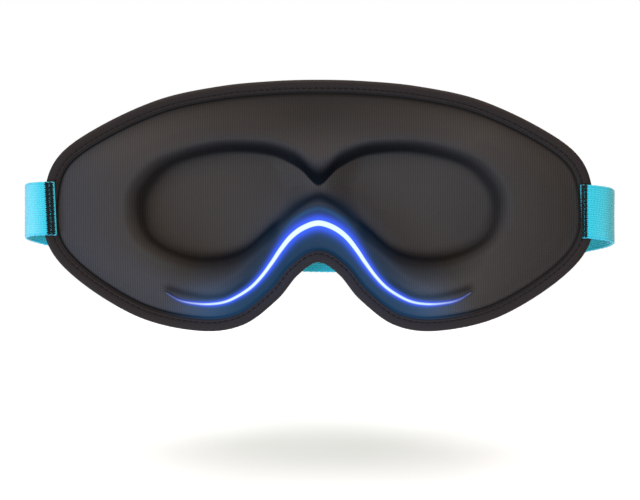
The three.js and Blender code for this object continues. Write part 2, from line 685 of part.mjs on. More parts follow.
const leftRoute = [
  [-112.5, -13.0, -0.8], [-118, -13.5, -0.8], [-123.8, -12, -1.2], [-126, -7.5, -1.8],
  [-125.6, -1.5, -2.6], [-122, 3.6, -3.8], [-113, 8.4, -6], [-98, 11.6, -8.8],
  [-76, 13.2, -11.8], [-48, STRAP.depth, -14.6], [-18, STRAP.depth, -16.2],
  [8, STRAP.depth, -16.8], onStrap(0, STRAP.depth),
];
const upper = STRAP.depth + BUCKLE.doubled;
const leftStrap = [
  ...curveThrough(leftRoute, 44),
  ...straight(4, BUCKLE.ring - 3, STRAP.depth, 4),
  ...halfTurn(BUCKLE.ring, 1).map((point) => new THREE.Vector3(...point)),
  ...straight(BUCKLE.ring - 1, BUCKLE.ring - 2, upper, 1),
];
place("strap_left", band(leftStrap, STRAP.width, STRAP.thick), COLOUR.strap, 0.85);

const barGap = 10;
const outerBar = BUCKLE.ring + barGap;
const rightRoute = [
  [112.8, -13.2, -2.0], [118, -13.8, -2.3], [124.2, -12.2, -3.2], [126.9, -7.5, -4.1],
  [126.6, -1.5, -5.0], [123.4, 4, -6.2], [115.5, 9.6, -8], onStrap(outerBar + 7, STRAP.depth - 0.2),
  onStrap(outerBar + 2, STRAP.depth),
];
const rightEnd = [
  onStrap(outerBar + 1, upper), onStrap(outerBar + 4, upper - 1.4),
  onStrap(outerBar + 7, STRAP.depth + 1.9), onStrap(outerBar + 11, STRAP.depth + 1.55),
];
const rightStrap = [
  ...curveThrough(rightRoute, 30),
  ...halfTurn(outerBar, -1).map((point) => new THREE.Vector3(...point)),
  ...curveThrough(rightEnd, 8),
];
place("strap_right", band(rightStrap, STRAP.width, STRAP.thick), COLOUR.strap, 0.85);

const sliderAt = BUCKLE.slider;
const barDepth = upper - 1.9;
place("strap_return",
  band(straight(BUCKLE.ring - 2.4, sliderAt + 2.6, upper, 3), STRAP.width, STRAP.thick),
  COLOUR.strap, 0.85);

const loopPoints = Array.from({ length: 12 }, (_, i) => {
  const angle = Math.PI / 2 + (i * Math.PI * 1.35) / 11;
  const out = 1.9 * Math.cos(angle);
  return new THREE.Vector3(...onStrap(sliderAt + out, barDepth + 1.9 * Math.sin(angle)));
});
place("strap_end_loop", band([
  ...straight(sliderAt + 2.2, sliderAt + 0.8, upper, 1), ...loopPoints,
], STRAP.width, STRAP.thick), COLOUR.strap, 0.85);

// The ring is a flat frame with a bar for each strap.
const ringShape = roundedRectangle(barGap + 2.4, 30, 2.4);
ringShape.holes.push(roundedRectangle(barGap - 2.4, 26, 0.4));
const ringDepth = STRAP.depth + BUCKLE.doubled / 2;
const ring = plate(ringShape, ringDepth - 1.2, ringDepth + 1.2, 0, 0.5);
place("strap_ring", ring.translate(BUCKLE.ring + barGap / 2, 0, 0), COLOUR.plastic, 0.4, 0, buckle);

// The slider has a rail each side of the strap, two bars under it and one above, for the loop.
const railIn = STRAP.width / 2 + 0.6;
const rails = [-1, 1].map((side) => plate(
  roundedRectangle(13, 2.2, 0.6), 11.4, barDepth + 1.4, side * (railIn + 1.1),
));
const bars = [-4.6, 4.6].map((x) => block(
  [x - 1.2, 11.4, -railIn - 1], [x + 1.2, 12.6, railIn + 1],
));
const centreBar = new THREE.CylinderGeometry(0.95, 0.95, 2 * railIn + 2, 12);
centreBar.rotateX(Math.PI / 2).translate(0, barDepth, 0);
place("strap_slider", build(rails[0], { add: [rails[1], ...bars, centreBar] })
  .translate(sliderAt, 0, 0), COLOUR.plastic, 0.4, 0, buckle);

// Bar tacks: blocks of thread that fasten the strap ends.
function tack(name, [x, depth, z], width, parent = group) {
  const low = [x - width / 2, depth - 0.25, z - 11];
  place(name, block(low, [x + width / 2, depth + 0.25, z + 11]), COLOUR.thread, 0.9, 0, parent);
}
tack("bar_tack_left_outer", [-117, -14.6, -0.8], 1.4);
tack("bar_tack_left_inner", [-113.6, -14.2, -0.8], 1.4);
tack("bar_tack_right", [114.9, -14.75, -2], 2.4);
tack("ring_bar_tack", [outerBar + 8.6, STRAP.depth + 3, 0], 1.8, buckle);

export default group;
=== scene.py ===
"""Heated eye massager mask: the looks of every piece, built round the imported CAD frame.

Sizes are millimetres until a mesh is made, then metres. -Y faces the wearer, +Z is up.
"""

import json
import math
from types import SimpleNamespace

import bpy
import numpy as np
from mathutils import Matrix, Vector

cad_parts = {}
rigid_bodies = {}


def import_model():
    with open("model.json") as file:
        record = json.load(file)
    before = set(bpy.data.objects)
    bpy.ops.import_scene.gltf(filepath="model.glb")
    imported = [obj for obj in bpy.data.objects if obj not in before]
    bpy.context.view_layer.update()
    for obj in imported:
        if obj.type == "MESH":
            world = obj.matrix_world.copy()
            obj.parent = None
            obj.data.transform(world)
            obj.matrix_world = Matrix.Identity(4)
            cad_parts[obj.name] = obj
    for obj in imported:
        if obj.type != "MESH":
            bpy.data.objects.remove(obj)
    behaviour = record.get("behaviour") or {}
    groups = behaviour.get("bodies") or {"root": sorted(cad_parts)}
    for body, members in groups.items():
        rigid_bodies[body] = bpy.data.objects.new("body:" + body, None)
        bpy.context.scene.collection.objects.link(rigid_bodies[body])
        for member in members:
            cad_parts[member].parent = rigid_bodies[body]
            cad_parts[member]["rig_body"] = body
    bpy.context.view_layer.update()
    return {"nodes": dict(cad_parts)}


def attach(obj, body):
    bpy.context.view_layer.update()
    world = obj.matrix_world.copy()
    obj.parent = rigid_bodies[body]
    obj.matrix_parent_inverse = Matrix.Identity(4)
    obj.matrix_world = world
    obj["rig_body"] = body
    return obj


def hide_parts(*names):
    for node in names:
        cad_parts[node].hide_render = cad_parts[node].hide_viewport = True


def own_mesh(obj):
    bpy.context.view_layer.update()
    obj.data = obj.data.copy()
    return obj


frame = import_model()

MM = 0.001

# ------ dimensions shared with the CAD

GAP = 0.3
SKIN = 0.6
SLACK = 1.5
OUTER_FOAM = 2.0
WRAP_RADIUS = 700.0

# Outline and cup foot stations, from the top centre round the -X temple to the nose notch.
OUTLINE = [
    (0, 55.2), (-20, 54.6), (-43, 52.3), (-69, 46.5), (-95, 34.5), (-112, 21.8), (-118, 6),
    (-117, -15), (-104, -31.3), (-78, -47.5), (-52, -53.6), (-33, -51.2), (-18, -40.2),
    (-9, -29.5), (0, -24),
]
CUP = [
    (0, 10.2), (-9, 17.6), (-21.5, 23.2), (-41.5, 24), (-62, 18.6), (-72.5, 8.8), (-75, -1),
    (-72, -11.8), (-62.5, -18.8), (-48, -22), (-33, -18.8), (-21, -9), (-12.5, -2), (-6, 2.8),
    (0, 6),
]
TEMPLE_STATION = 6
SPINE_SHARE = 0.7

# The body's depth from its edge (-1) over the cup wall's ends (0 and 1) to the cup's middle (2).
STATION = [-1, 0, 0.25, 0.5, 0.74, 0.9, 1, 1.35, 2]
FACE = [-1.9, -2.1, -5.8, -8.8, -9.8, -6.4, 1.5, 3.4, 4.2]
FACE_BRIDGE = [-1.9, -2.1, -5.8, -8.8, -9.8, -8.2, -5.4, -5.0, -4.8]
BACK = [1.9, 2.0, 4.6, 6.6, 8.0, 8.9, 9.4, 10.2, 10.6]
EDGE_INSET = 1.2
FOOT_INSET = 5.8
BRIDGE_OPEN = (2, 22)
BRIDGE_DIP = 3.0

BINDING_WIDTH = 5.2
BINDING_HALF = 3.0
BINDING_FABRIC = 0.6
STITCH_INSET = 3.8
STITCH_PITCH = 2.7

STRAP_WIDTH = 23.0
STRAP_THICK = 1.2
STRAP_DEPTH = 13.6
BUCKLE_START = (22.0, -16.4)
BUCKLE_ANGLE = math.atan(4.5 / 66)
RING_AT = 66.0
SLIDER_AT = 16.0
DOUBLED = 5.3
OUTER_BAR = RING_AT + 10
UPPER = STRAP_DEPTH + DOUBLED

GUIDE_HALF = 1.3
GUIDE_CROWN = 1.1
GUIDE_ROUTE = [
    (-66, -36.7), (-60, -40.2), (-53.5, -41.6), (-46.6, -41.9), (-40.2, -40.9), (-34.7, -38.4),
    (-29.2, -34.7), (-24.8, -30.2), (-20.3, -24.2), (-16.3, -18.3), (-11.8, -12.8), (-6.4, -8.9),
]
GUIDE_APEX = (0, -7)

POD_Z = 34.0
POD_FACE = 8.0
POD_BASE = (56.0, 18.0, 4.0)

# ------ looks

# Half width and strength of the lit line, by the share of the way from its middle to its ends.
LINE_WIDTH = ([0, 0.12, 0.4, 0.76, 0.94, 1], [1.15, 1.05, 0.62, 0.42, 0.22, 0.05])
LINE_LIGHT = ([0, 0.4, 0.76, 0.88, 0.95, 1], [1.0, 1.0, 0.85, 0.5, 0.12, 0.0])
NO_LIGHT = (0, 0, 0, 1)
# A glow painted on the fabric round the lit line: its halo, and its spill below and above.
HALO_COLOUR = (0.035, 0.085, 1.0, 1)
SPILL_COLOUR = (0.004, 0.060, 0.160, 1)
HALO_WIDTH = 2.15  # in half widths of the line
SPILL_BELOW = 26.0
SPILL_ABOVE = 5.5

# How dark the painted shade makes the lining in each fold or band, from 0 to 1.
SHADE = SimpleNamespace(
    cheek_fold=0.80, cheek=0.88, temple_fold=0.52, bridge=0.84, brow=0.50, far_side=0.34,
    crease=0.62, seam=0.96, below_line=0.62, over_line=0.60, most=0.97,
)

CLOTH_FRAMES = 20
CLOTH_PRESSURE = 4
CLOTH_STIFFNESS = 30
CLOTH_BENDING = 2
PUFF_CAP = 1.1

STRAP_RIBS = 22
SELVAGE_PITCH = 2.4
THREAD_RADIUS = 0.26
ZIGZAG_PITCH = 0.43
STITCH_LEAN = -0.05

WORLD_FILL = 0.31
FLOOR_HALF = (0.5, 0.2)
FLOOR_PLACE = (0, 0.02, -0.1038)
FLOOR_TILT = math.radians(20)
# The floor's darker middle is painted shade under the object, where its cast shadow falls.
FLOOR_SHADE_PATCH = (0.29, 0.18)  # half sizes of the slightly darker middle
LENS = 200.0
SENSOR = 36.0
VIEW_WIDTH = 0.2766
VIEW_TARGET = (0.0006, -0.004, -0.0186)

# ------ small maths


def smooth(low, high, value):
    share = np.clip((np.asarray(value, float) - low) / (high - low), 0, 1)
    return share * share * (3 - 2 * share)


def fade(low, high, value):
    return 1 - smooth(low, high, value)


def bell(value, width):
    """1 at zero, fading out over a width on both sides."""
    return np.exp(-(value / width) ** 2)


def lerp(a, b, share):
    return a + (b - a) * share


def unit(vectors):
    return vectors / np.maximum(np.linalg.norm(vectors, axis=-1, keepdims=True), 1e-9)


def wrap(x):
    """How deep the mask lies at x, as it bends round the face."""
    return -(x * x) / (2 * WRAP_RADIUS)


def closed_curve(points, share):
    """Points and tangents of a closed Catmull-Rom curve at shares of its length."""
    knots = np.asarray(points, float)
    at = (np.asarray(share) % 1.0) * len(knots)
    first = np.floor(at).astype(int)
    w = (at - first)[:, None]
    p0, p1, p2, p3 = (knots[(first + k) % len(knots)] for k in (-1, 0, 1, 2))
    m0, m1 = (p2 - p0) / 2, (p3 - p1) / 2
    a, b = 2 * p1 - 2 * p2 + m0 + m1, -3 * p1 + 3 * p2 - 2 * m0 - m1
    return p1 + m0 * w + b * w**2 + a * w**3, m0 + 2 * b * w + 3 * a * w**2


def open_curve(points, steps):
    """steps + 1 points of a centripetal Catmull-Rom curve through points."""
    knots = np.asarray(points, float)
    knots = np.vstack([2 * knots[0] - knots[1], knots, 2 * knots[-1] - knots[-2]])
    made = []
    spans = len(knots) - 3
    for at in np.linspace(0, spans, steps + 1):
        i = min(int(at), spans - 1)
        w = at - i
        p0, p1, p2, p3 = knots[i:i + 4]
        d0, d1, d2 = (max(np.linalg.norm(b - a), 1e-6) ** 0.5
                      for a, b in ((p0, p1), (p1, p2), (p2, p3)))
        m0 = d1 * ((p1 - p0) / d0 - (p2 - p0) / (d0 + d1) + (p2 - p1) / d1)
        m1 = d1 * ((p2 - p1) / d1 - (p3 - p1) / (d1 + d2) + (p3 - p2) / d2)
        made.append(p1 + m0 * w + (3 * (p2 - p1) - 2 * m0 - m1) * w**2
                    + (2 * (p1 - p2) + m0 + m1) * w**3)
    return np.array(made)


def travel(path):
    """How far along the path each of its points lies."""
    return np.concatenate([[0], np.cumsum(np.linalg.norm(np.diff(path, axis=0), axis=1))])


def evenly(path, step):
    """The path resampled at equal steps of about that length."""
    lengths = travel(path)
    count = max(int(round(lengths[-1] / step)), 2)
    at = np.linspace(0, lengths[-1], count + 1)
    return np.stack([np.interp(at, lengths, path[:, k]) for k in range(path.shape[1])], 1)


def monotone(stations, values, at):
    """A smooth curve through the values that never overshoots them, level at its last end."""
    x, y = np.asarray(stations, float), np.asarray(values, float)
    slope = np.diff(y) / np.diff(x)
    m = np.zeros(len(y))
    m[0] = slope[0]
    for i in range(1, len(y) - 1):
        if slope[i - 1] * slope[i] > 0:
            m[i] = 2 * slope[i - 1] * slope[i] / (slope[i - 1] + slope[i])
    i = np.clip(np.searchsorted(x, at, side="right") - 1, 0, len(x) - 2)
    h = x[i + 1] - x[i]
    w = (at - x[i]) / h
    return ((1 + 2 * w) * (1 - w)**2 * y[i] + w * (1 - w)**2 * h * m[i]
            + w * w * (3 - 2 * w) * y[i + 1] + w * w * (w - 1) * h * m[i + 1])


def to_polyline(points, route):
    """Distance from each point to a route, the share along it, and the side it lies on."""
    a, b = route[:-1], route[1:]
    span = b - a
    best = np.full(len(points), 1e9)
    share = np.zeros(len(points))
    side = np.zeros(len(points))
    for i in range(len(a)):
        t = np.clip(((points - a[i]) @ span[i]) / (span[i] @ span[i]), 0, 1)
        off = points - (a[i] + t[:, None] * span[i])
        d = np.linalg.norm(off, axis=1)
        closer = d < best
        best[closer] = d[closer]
        share[closer] = ((i + t) / len(a))[closer]
        side[closer] = np.sign(span[i][0] * off[:, 1] - span[i][1] * off[:, 0])[closer]
    return best, share, side


# ------ meshes


def link(name, data):
    """A new object in the scene."""
    made = bpy.data.objects.new(name, data)
    bpy.context.scene.collection.objects.link(made)
    return made


def set_all(thing, **values):
    """Sets several properties of a node, modifier, light or camera."""
    for name, value in values.items():
        setattr(thing, name, value)


def make_object(name, points, faces, material, slot, stands_for=None, body="mask_body"):
    """A smooth mesh from points in millimetres, riding on a body and replacing a CAD node."""
    mesh = bpy.data.meshes.new(name)
    mesh.from_pydata((np.asarray(points, float) * MM).tolist(), [], [list(f) for f in faces])
    mesh.validate()
    mesh.shade_smooth()
    mesh.materials.append(material)
    made = link(name, mesh)
    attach(made, body)
    if stands_for:
        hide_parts(stands_for)
    return made


def set_values(piece, name, values):
    attribute = piece.data.attributes.new(name, "FLOAT", "POINT")
    attribute.data.foreach_set("value", np.asarray(values, np.float32))


def set_uv(piece, per_point):
    layer = piece.data.uv_layers.new(name="weave")
    loops = np.zeros(len(piece.data.loops), np.int64)
    piece.data.loops.foreach_get("vertex_index", loops)
    layer.data.foreach_set("uv", np.asarray(per_point, np.float32)[loops].ravel())


def outward(piece):
    """Turns all faces of a closed mesh outwards."""
    bpy.context.view_layer.objects.active = piece
    piece.select_set(True)
    bpy.ops.object.mode_set(mode="EDIT")
    bpy.ops.mesh.select_all(action="SELECT")
    bpy.ops.mesh.normals_make_consistent(inside=False)
    bpy.ops.object.mode_set(mode="OBJECT")
    piece.select_set(False)


def slab_mesh(low, high, faces):
    """A closed solid between two surfaces with the same faces, and which points it uses."""
    count = len(low)
    faces = np.asarray(faces)
    directed = np.concatenate([faces[:, [k, (k + 1) % 4]] for k in range(4)])
    keys = set(map(tuple, directed.tolist()))
    walls = [(a, b, b + count, a + count) for a, b in keys if (b, a) not in keys]
    bottom = faces[:, ::-1] + count
    used = np.unique(faces)
    index = np.full(2 * count, -1)
    index[used] = np.arange(len(used))
    index[used + count] = np.arange(len(used)) + len(used)
    every = np.concatenate([faces, bottom, np.array([w[::-1] for w in walls])])
    return np.concatenate([low[used], high[used]]), index[every], used


def ring_quads(index):
    """Quads between closed rings of point numbers, each ring joined to the next."""
    after = np.roll(index, -1, axis=1)
    return np.stack([index[:-1], after[:-1], after[1:], index[1:]], -1).reshape(-1, 4)


def wall_faces(rings, sides):
    return ring_quads(np.arange(rings * sides).reshape(rings, sides)).tolist()


def capped_faces(rings, sides):
    """The faces of a closed bar that is made of rings of points."""
    last = (rings - 1) * sides
    return [*wall_faces(rings, sides), range(sides)[::-1], range(last, last + sides)]


def tube(path, radius, sides):
    """Points and faces of a capped round bar along a path."""
    along = unit(np.gradient(path, axis=0))
    across = unit(np.cross(along, (0.0, 1.0, 0.0)) + 1e-6)
    other = np.cross(along, across)
    radius = np.broadcast_to(radius, len(path))[:, None]
    rows = [path + (across * math.cos(turn) + other * math.sin(turn)) * radius
            for turn in 2 * math.pi * np.arange(sides) / sides]
    return np.stack(rows, 1).reshape(-1, 3), capped_faces(len(path), sides)


def joined(parts):
    """One list of points and one of faces from several."""
    points, faces, start = [], [], 0
    for part_points, part_faces in parts:
        points.append(part_points)
        faces += [tuple(v + start for v in f) for f in part_faces]
        start += len(part_points)
    return np.concatenate(points), faces


# ------ the body's surface


def mirrored(half, last=None):
    """A route from its left half, which ends on the middle line. last=0 is for a closed loop."""
    return half + [(-x, z) for x, z in half[-2:last:-1]]


MIRRORED_OUTLINE = mirrored(OUTLINE, 0)
MIRRORED_CUP = mirrored(CUP, 0)
NOTCH_STATION = len(OUTLINE) - 1
MARKS = [0, TEMPLE_STATION, NOTCH_STATION, 2 * NOTCH_STATION - TEMPLE_STATION, 2 * NOTCH_STATION]
GUIDE_LINE = open_curve(mirrored([*GUIDE_ROUTE, GUIDE_APEX]), 240)
CREASE = open_curve([(-68, -33.6), (-63, -35.6), (-56, -37.6), (-48, -38.9), (-41, -38.2),
                     (-35.5, -35.6), (-30, -31.4), (-25.6, -26.6)], 60)
BRIDGE_FOLD = open_curve(
    mirrored([(-30, -17.5), (-25.3, -14.3), (-16.7, -7), (-8, 0.8), (0, 3.9)]), 60)


def loop_share(quarter):
    """Shares of the loop for equal steps in each quarter."""
    return np.interp(np.arange(4 * quarter), np.arange(5) * quarter, MARKS) / MARKS[-1]


def edge_points(share, inset):
    """Points of the outline moved inwards, and the outline's direction there."""
    point, along = closed_curve(MIRRORED_OUTLINE, share)
    along = unit(along)
    return point + np.stack([-along[:, 1], along[:, 0]], 1) * np.reshape(inset, (-1, 1)), along


def body_grid(quarter, edge, flank, floor):
    """The body's grid: rings of points from the edge (by inset) over the flank to the spine.

    quarter is a quarter of a ring's points. flank counts the rings from the foot of the cup wall to
    the cup's floor, and floor those from there to the spine, its first and last ring included.
    """
    count = 4 * quarter
    share = loop_share(quarter)
    foot, _ = edge_points(share, FOOT_INSET)
    cup, _ = closed_curve(MIRRORED_CUP, share)
    made = []

    def row(points, at, xs, shares=share):
        made.append((points, np.full(len(points), float(at)), xs, shares))

    for inset in edge:
        row(edge_points(share, inset)[0],
            (inset - FOOT_INSET) / (FOOT_INSET - EDGE_INSET), cup[:, 0])
    for t in np.linspace(0, 1, flank):
        row(lerp(foot, cup, t), t, cup[:, 0])
    steps = np.abs(np.arange(2 * quarter + 1) - quarter)
    right = np.arange(2 * quarter + 1) > quarter
    over = np.where(right, (count - steps) % count, steps)
    top = cup[over]
    bottom = cup[np.where(right, count // 2 + steps, count // 2 - steps)]
    spine = np.stack([SPINE_SHARE * (top[:, 0] + bottom[:, 0]) / 2,
                      (top[:, 1] + bottom[:, 1]) / 2], 1)
    vertex = np.arange(count)
    from_top = np.where(vertex <= count // 2, vertex, count - vertex)
    near = np.where(from_top <= quarter, from_top, count // 2 - from_top)
    column = quarter + np.where(vertex <= count // 2, -1, 1) * near
    for f in np.linspace(0, 1, floor)[1:-1]:
        row(lerp(cup, spine[column], f), 1 + f, lerp(cup[:, 0], spine[column, 0] / SPINE_SHARE, f))
    rows = len(made)
    row(spine, 2, spine[:, 0] / SPINE_SHARE, share[over])
    place, station, cup_x, shares = (np.concatenate(kind) for kind in zip(*made))
    index = np.vstack([np.arange(rows * count).reshape(rows, count), rows * count + column])
    lean = unit(cup - foot)[:, 1]
    return SimpleNamespace(
        place=place, station=station, cup_x=cup_x, share=shares, quads=ring_quads(index),
        count=count, rows=rows, reach=np.linalg.norm(cup - foot, axis=1),
        floor_reach=np.linalg.norm(spine[column] - cup, axis=1),
        lean=np.concatenate([np.tile(lean, rows), lean[over]]),
    )


def depths(grid, creases=True):
    """The depths of the wearer's side, the outer side and the middle of the body's grid."""
    x, z = grid.place.T
    at = grid.station
    opened = smooth(*BRIDGE_OPEN, np.abs(grid.cup_x))
    face = lerp(monotone(STATION, FACE_BRIDGE, at), monotone(STATION, FACE, at), opened)
    plain_back = np.minimum(monotone(STATION, BACK, at), lerp(BACK[6], BACK[-1], opened))
    dip = BRIDGE_DIP * fade(0, 30, np.abs(x)) * smooth(2, 8, plain_back)
    inside = smooth(0, 0.25, at)
    patch = fade(34, 46, np.abs(x)) * smooth(15, 23, z) * fade(44, 50, z)
    back = lerp(plain_back - dip + wrap(x), POD_FACE, patch * inside)
    slack = lerp(GAP, SLACK, inside)
    middle = lerp(wrap(x), back - SKIN - GAP - OUTER_FOAM - slack / 2, inside)
    face = face + wrap(x)
    if creases:
        face = face + crease_depth(grid)
    return SimpleNamespace(face=face, back=back, middle=middle, slack=slack)


def crease_depth(grid):
    """How far the seams and creases sink into the wearer's side."""
    from_binding = np.clip(grid.station, 0, 1) * around_loop(grid, grid.reach)
    edge = 0.9 * bell(from_binding - 0.3, 0.75) * (grid.station >= 0)
    to_guide, share, _ = to_polyline(grid.place, GUIDE_LINE)
    taper = np.sin(np.pi * np.clip(share, 0.02, 0.98)) ** 0.6
    channel = 0.75 * bell(to_guide, 2.0) * taper
    found = [to_polyline(place, CREASE) for place in both_sides(grid)]
    to_crease = np.minimum(found[0][0], found[1][0])
    along = np.minimum(*(np.sin(np.pi * np.clip(share, 0.03, 0.97)) for _, share, _ in found))
    return edge + channel + 1.1 * bell(to_crease, 1.1) * np.maximum(along, 0.25)


def both_sides(grid):
    """The grid's places, as they are and mirrored, to measure from a line on one side."""
    return grid.place, grid.place * [-1, 1]


def around_loop(grid, values):
    """Values given for each vertex of the loop, at every point of the grid."""
    return np.interp(grid.share, loop_share(grid.count // 4), values)


def fabric_shade(grid):
    """How much painted shade and painted cool light the fabric gets at each grid point, each 0 to
    1.

    The painted shade is darkest where the cup walls fold into the cup floors, in the creases and at
    the seam. It also darkens the top middle, the +X side and the fabric round the light line.
    """
    at = grid.station
    x, z = grid.place.T
    from_foot = (at - 1) * np.where(at < 1, around_loop(grid, grid.reach),
                                    around_loop(grid, grid.floor_reach))
    top, bottom = np.clip(-grid.lean, 0, 1), np.clip(grid.lean, 0, 1)
    side = 1 - np.abs(grid.lean)
    # Painted shade where the cup walls fold into the floors: under the brow, over the cheeks and at
    # the temples.
    beside_bridge = bell(np.abs(x) - 14, 9)
    under_brow = smooth(-10.5, -3.0 - 1.2 * beside_bridge, from_foot)
    under_brow = under_brow * fade(0.2, 1.9, from_foot) * (1 - 0.10 * beside_bridge)
    cheek = smooth(-22, -5, from_foot) * fade(-1.0, 1.5, from_foot)
    over_cheek = SHADE.cheek_fold * bell(from_foot, 2.9)
    over_cheek += SHADE.cheek * cheek * (1 - over_cheek)
    over_cheek *= smooth(9, 20, np.abs(x))
    at_temple = bell(from_foot + 1.6, 4.8)
    folds = top * under_brow + bottom * over_cheek + SHADE.temple_fold * side * at_temple
    # Painted shade along the fold beside the bridge.
    to_bridge, along, _ = to_polyline(grid.place, BRIDGE_FOLD)
    bridge = SHADE.bridge * bell(to_bridge, 3.0) * np.sin(np.pi * along) ** 0.5
    # Painted shade on the top middle and towards the +X side.
    brow = SHADE.brow * smooth(20, 42, z) * bell(x, 85) * (at < 1)
    far_side = SHADE.far_side * smooth(45, 105, x)
    to_guide, share, above = to_polyline(grid.place, GUIDE_LINE)
    from_middle = np.abs(share - 0.5) * 2
    # Painted shade below and above the middle of the light line.
    below_line = SHADE.below_line * (above < 0) * fade(0.55, 0.95, from_middle)
    over_line = SHADE.over_line * (above > 0) * fade(0.35, 0.85, from_middle)
    over_line = over_line * fade(6, 13, to_guide)
    dark = np.max([folds, below_line, bridge, brow, over_line, far_side], axis=0)
    # Painted shade along the cheek creases.
    tuck = 0.0
    for place in both_sides(grid):
        distance, share, _ = to_polyline(place, CREASE)
        ends = smooth(0.0, 0.12, share) * fade(0.75, 1.0, share)
        tuck = np.maximum(tuck, SHADE.crease * bell(distance, 1.7) * ends)
    dark = np.clip(dark + tuck * (1 - dark), 0, SHADE.most)
    # Painted shade along the binding's inner edge.
    from_binding = at * around_loop(grid, grid.reach)
    seam = SHADE.seam * bell(from_binding - 0.2, 0.55)
    # Painted cool light: a bluish tint on the upper cup walls, the lower flanks, the -X edge, round
    # the light line and at the bridge.
    cool = top * smooth(-14, -3, from_foot) * fade(0.1, 1.8, from_foot)
    cool += bottom * (at < 1) * fade(-20, -10, from_foot) * fade(-30, 60, x)
    cool += 0.5 * fade(-115, -70, x)
    cool = np.max([cool, 1.3 * below_line, 1.5 * over_line, bridge], axis=0)
    return np.maximum(dark, seam), np.clip(cool, 0, 1)


def layer_points(grid, depth):
    x, z = grid.place.T
    return np.stack([x, depth, z], 1)


# ------ materials

WAVES_PER_UNIT = 20 / (2 * math.pi)  # bands of a wave texture in one unit at scale 1


def put(value, socket):
    """Links a socket to another one, or gives it a plain value."""
    if isinstance(value, bpy.types.NodeSocket):
        socket.id_data.links.new(value, socket)
    else:
        socket.default_value = value


def node(tree, kind, inputs=(), **settings):
    made = tree.nodes.new("ShaderNode" + kind)
    set_all(made, **settings)
    for socket, value in dict(inputs).items():
        put(value, made.inputs[socket])
    return made


def empty_tree(owner):
    owner.use_nodes = True
    owner.node_tree.nodes.clear()
    return owner.node_tree


def new_material(name):
    made = bpy.data.materials.new(name)
    tree = empty_tree(made)
    shader = node(tree, "BsdfPrincipled")
    node(tree, "OutputMaterial", {"Surface": shader.outputs["BSDF"]})
    return made, tree, shader


def finish(shader, height, strength, bump_mm, inputs):
    """Sets the shader's inputs, and its bump from a height."""
    bump = node(shader.id_data, "Bump",
                {"Height": height, "Strength": strength, "Distance": bump_mm * MM})
    for socket, value in {"Normal": bump.outputs[0], **inputs}.items():
        put(value, shader.inputs[socket])


def shine(shader, colour):
    """Makes the shader give off a colour."""
    put(colour, shader.inputs["Emission Color"])
    put(1.0, shader.inputs["Emission Strength"])


def mix(tree, share, a, b, blend="MIX"):
    made = node(tree, "Mix", data_type="RGBA", blend_type=blend)
    for index, value in ((0, share), (6, a), (7, b)):
        put(value, made.inputs[index])
    return made.outputs[2]


def maths(tree, operation, a, b):
    return node(tree, "Math", {0: a, 1: b}, operation=operation).outputs[0]


def times(tree, a, b):
    return maths(tree, "MULTIPLY", a, b)


def scaled(tree, value, factor, plus):
    return maths(tree, "ADD", times(tree, value, factor), plus)


def weighted(tree, *terms):
    """The sum of values times their weights."""
    total = 0.0
    for value, weight in terms:
        total = scaled(tree, value, weight, total)
    return total


def attribute(tree, name):
    return node(tree, "Attribute", attribute_name=name).outputs["Fac"]


def coordinates(tree, kind="Object"):
    return node(tree, "TexCoord").outputs[kind]


def stretched(tree, where, scale):
    return node(tree, "Mapping", {"Vector": where, "Scale": scale}).outputs["Vector"]


def noise(tree, where, scale, detail=2.0):
    inputs = {"Vector": where, "Scale": scale, "Detail": detail}
    return node(tree, "TexNoise", inputs).outputs["Fac"]


def bands(tree, where, pitch, direction="X", distortion=0.0):
    """Soft stripes that repeat at a pitch in millimetres."""
    inputs = {"Vector": where, "Scale": 1 / (pitch * MM * WAVES_PER_UNIT), "Distortion": distortion}
    return node(tree, "TexWave", inputs, bands_direction=direction).outputs["Fac"]


def rgb(*seen):
    """A colour from the 0 to 255 values it is seen with."""
    shares = [value / 255 for value in seen]
    return (*(s / 12.92 if s <= 0.04045 else ((s + 0.055) / 1.055) ** 2.4 for s in shares), 1.0)


def knit(name, base, low, pitch, sheen, lit=False):
    """Ribbed warp-knit fabric: ribs, loops along them, a soft fuzz and slow colour drift."""
    made, tree, shader = new_material(name)
    where = coordinates(tree)
    fuzz = noise(tree, stretched(tree, where, (1, 1, 0.6)), 2400, 3)
    weave = weighted(tree, (bands(tree, where, pitch), 0.6),
                     (bands(tree, where, pitch * 0.8, "Z"), 0.2), (fuzz, 0.45))
    drift = scaled(tree, noise(tree, where, 16), 0.3, 0.85)
    drift = node(tree, "CombineColor", {"Red": drift, "Green": drift, "Blue": drift}).outputs[0]
    colour = mix(tree, 1.0, mix(tree, weave, rgb(*low), rgb(*base)), drift, "MULTIPLY")
    specular = 0.12
    if lit:
        # The lining's painted shade darkens it towards a deep tone and dulls its gloss, painted
        # cool light tints it blue, and the painted glow of the light line is added.
        painted_shade, cool = attribute(tree, "painted_shade"), attribute(tree, "cool")
        cooled = mix(tree, 1.0, colour, (0.80, 0.95, 1.30, 1), "MULTIPLY")
        deep = mix(tree, cool, (0.0024, 0.0018, 0.0014, 1), (0.0010, 0.0014, 0.0021, 1))
        colour = mix(tree, painted_shade, mix(tree, cool, colour, cooled), deep)
        specular = times(tree, scaled(tree, painted_shade, -0.6, 1.0), specular)
        add_glow(tree, shader, painted_shade)
    finish(shader, weave, 0.35, 0.25, {
        "Base Color": colour, "Roughness": scaled(tree, weave, -0.12, 0.92),
        "Sheen Weight": sheen, "Sheen Roughness": 0.6, "Specular IOR Level": specular,
    })
    return made


def add_glow(tree, shader, painted_shade):
    """The light line's halo and spill, a glow painted on the fabric round it from the mesh's own
    values; the painted shade dims the spill.
    """
    halo = mix(tree, attribute(tree, "halo"), NO_LIGHT, HALO_COLOUR)
    spill = times(tree, attribute(tree, "spill"), scaled(tree, painted_shade, -0.45, 1.0))
    spill = mix(tree, spill, NO_LIGHT, SPILL_COLOUR)
    shine(shader, mix(tree, 1.0, halo, spill, "ADD"))


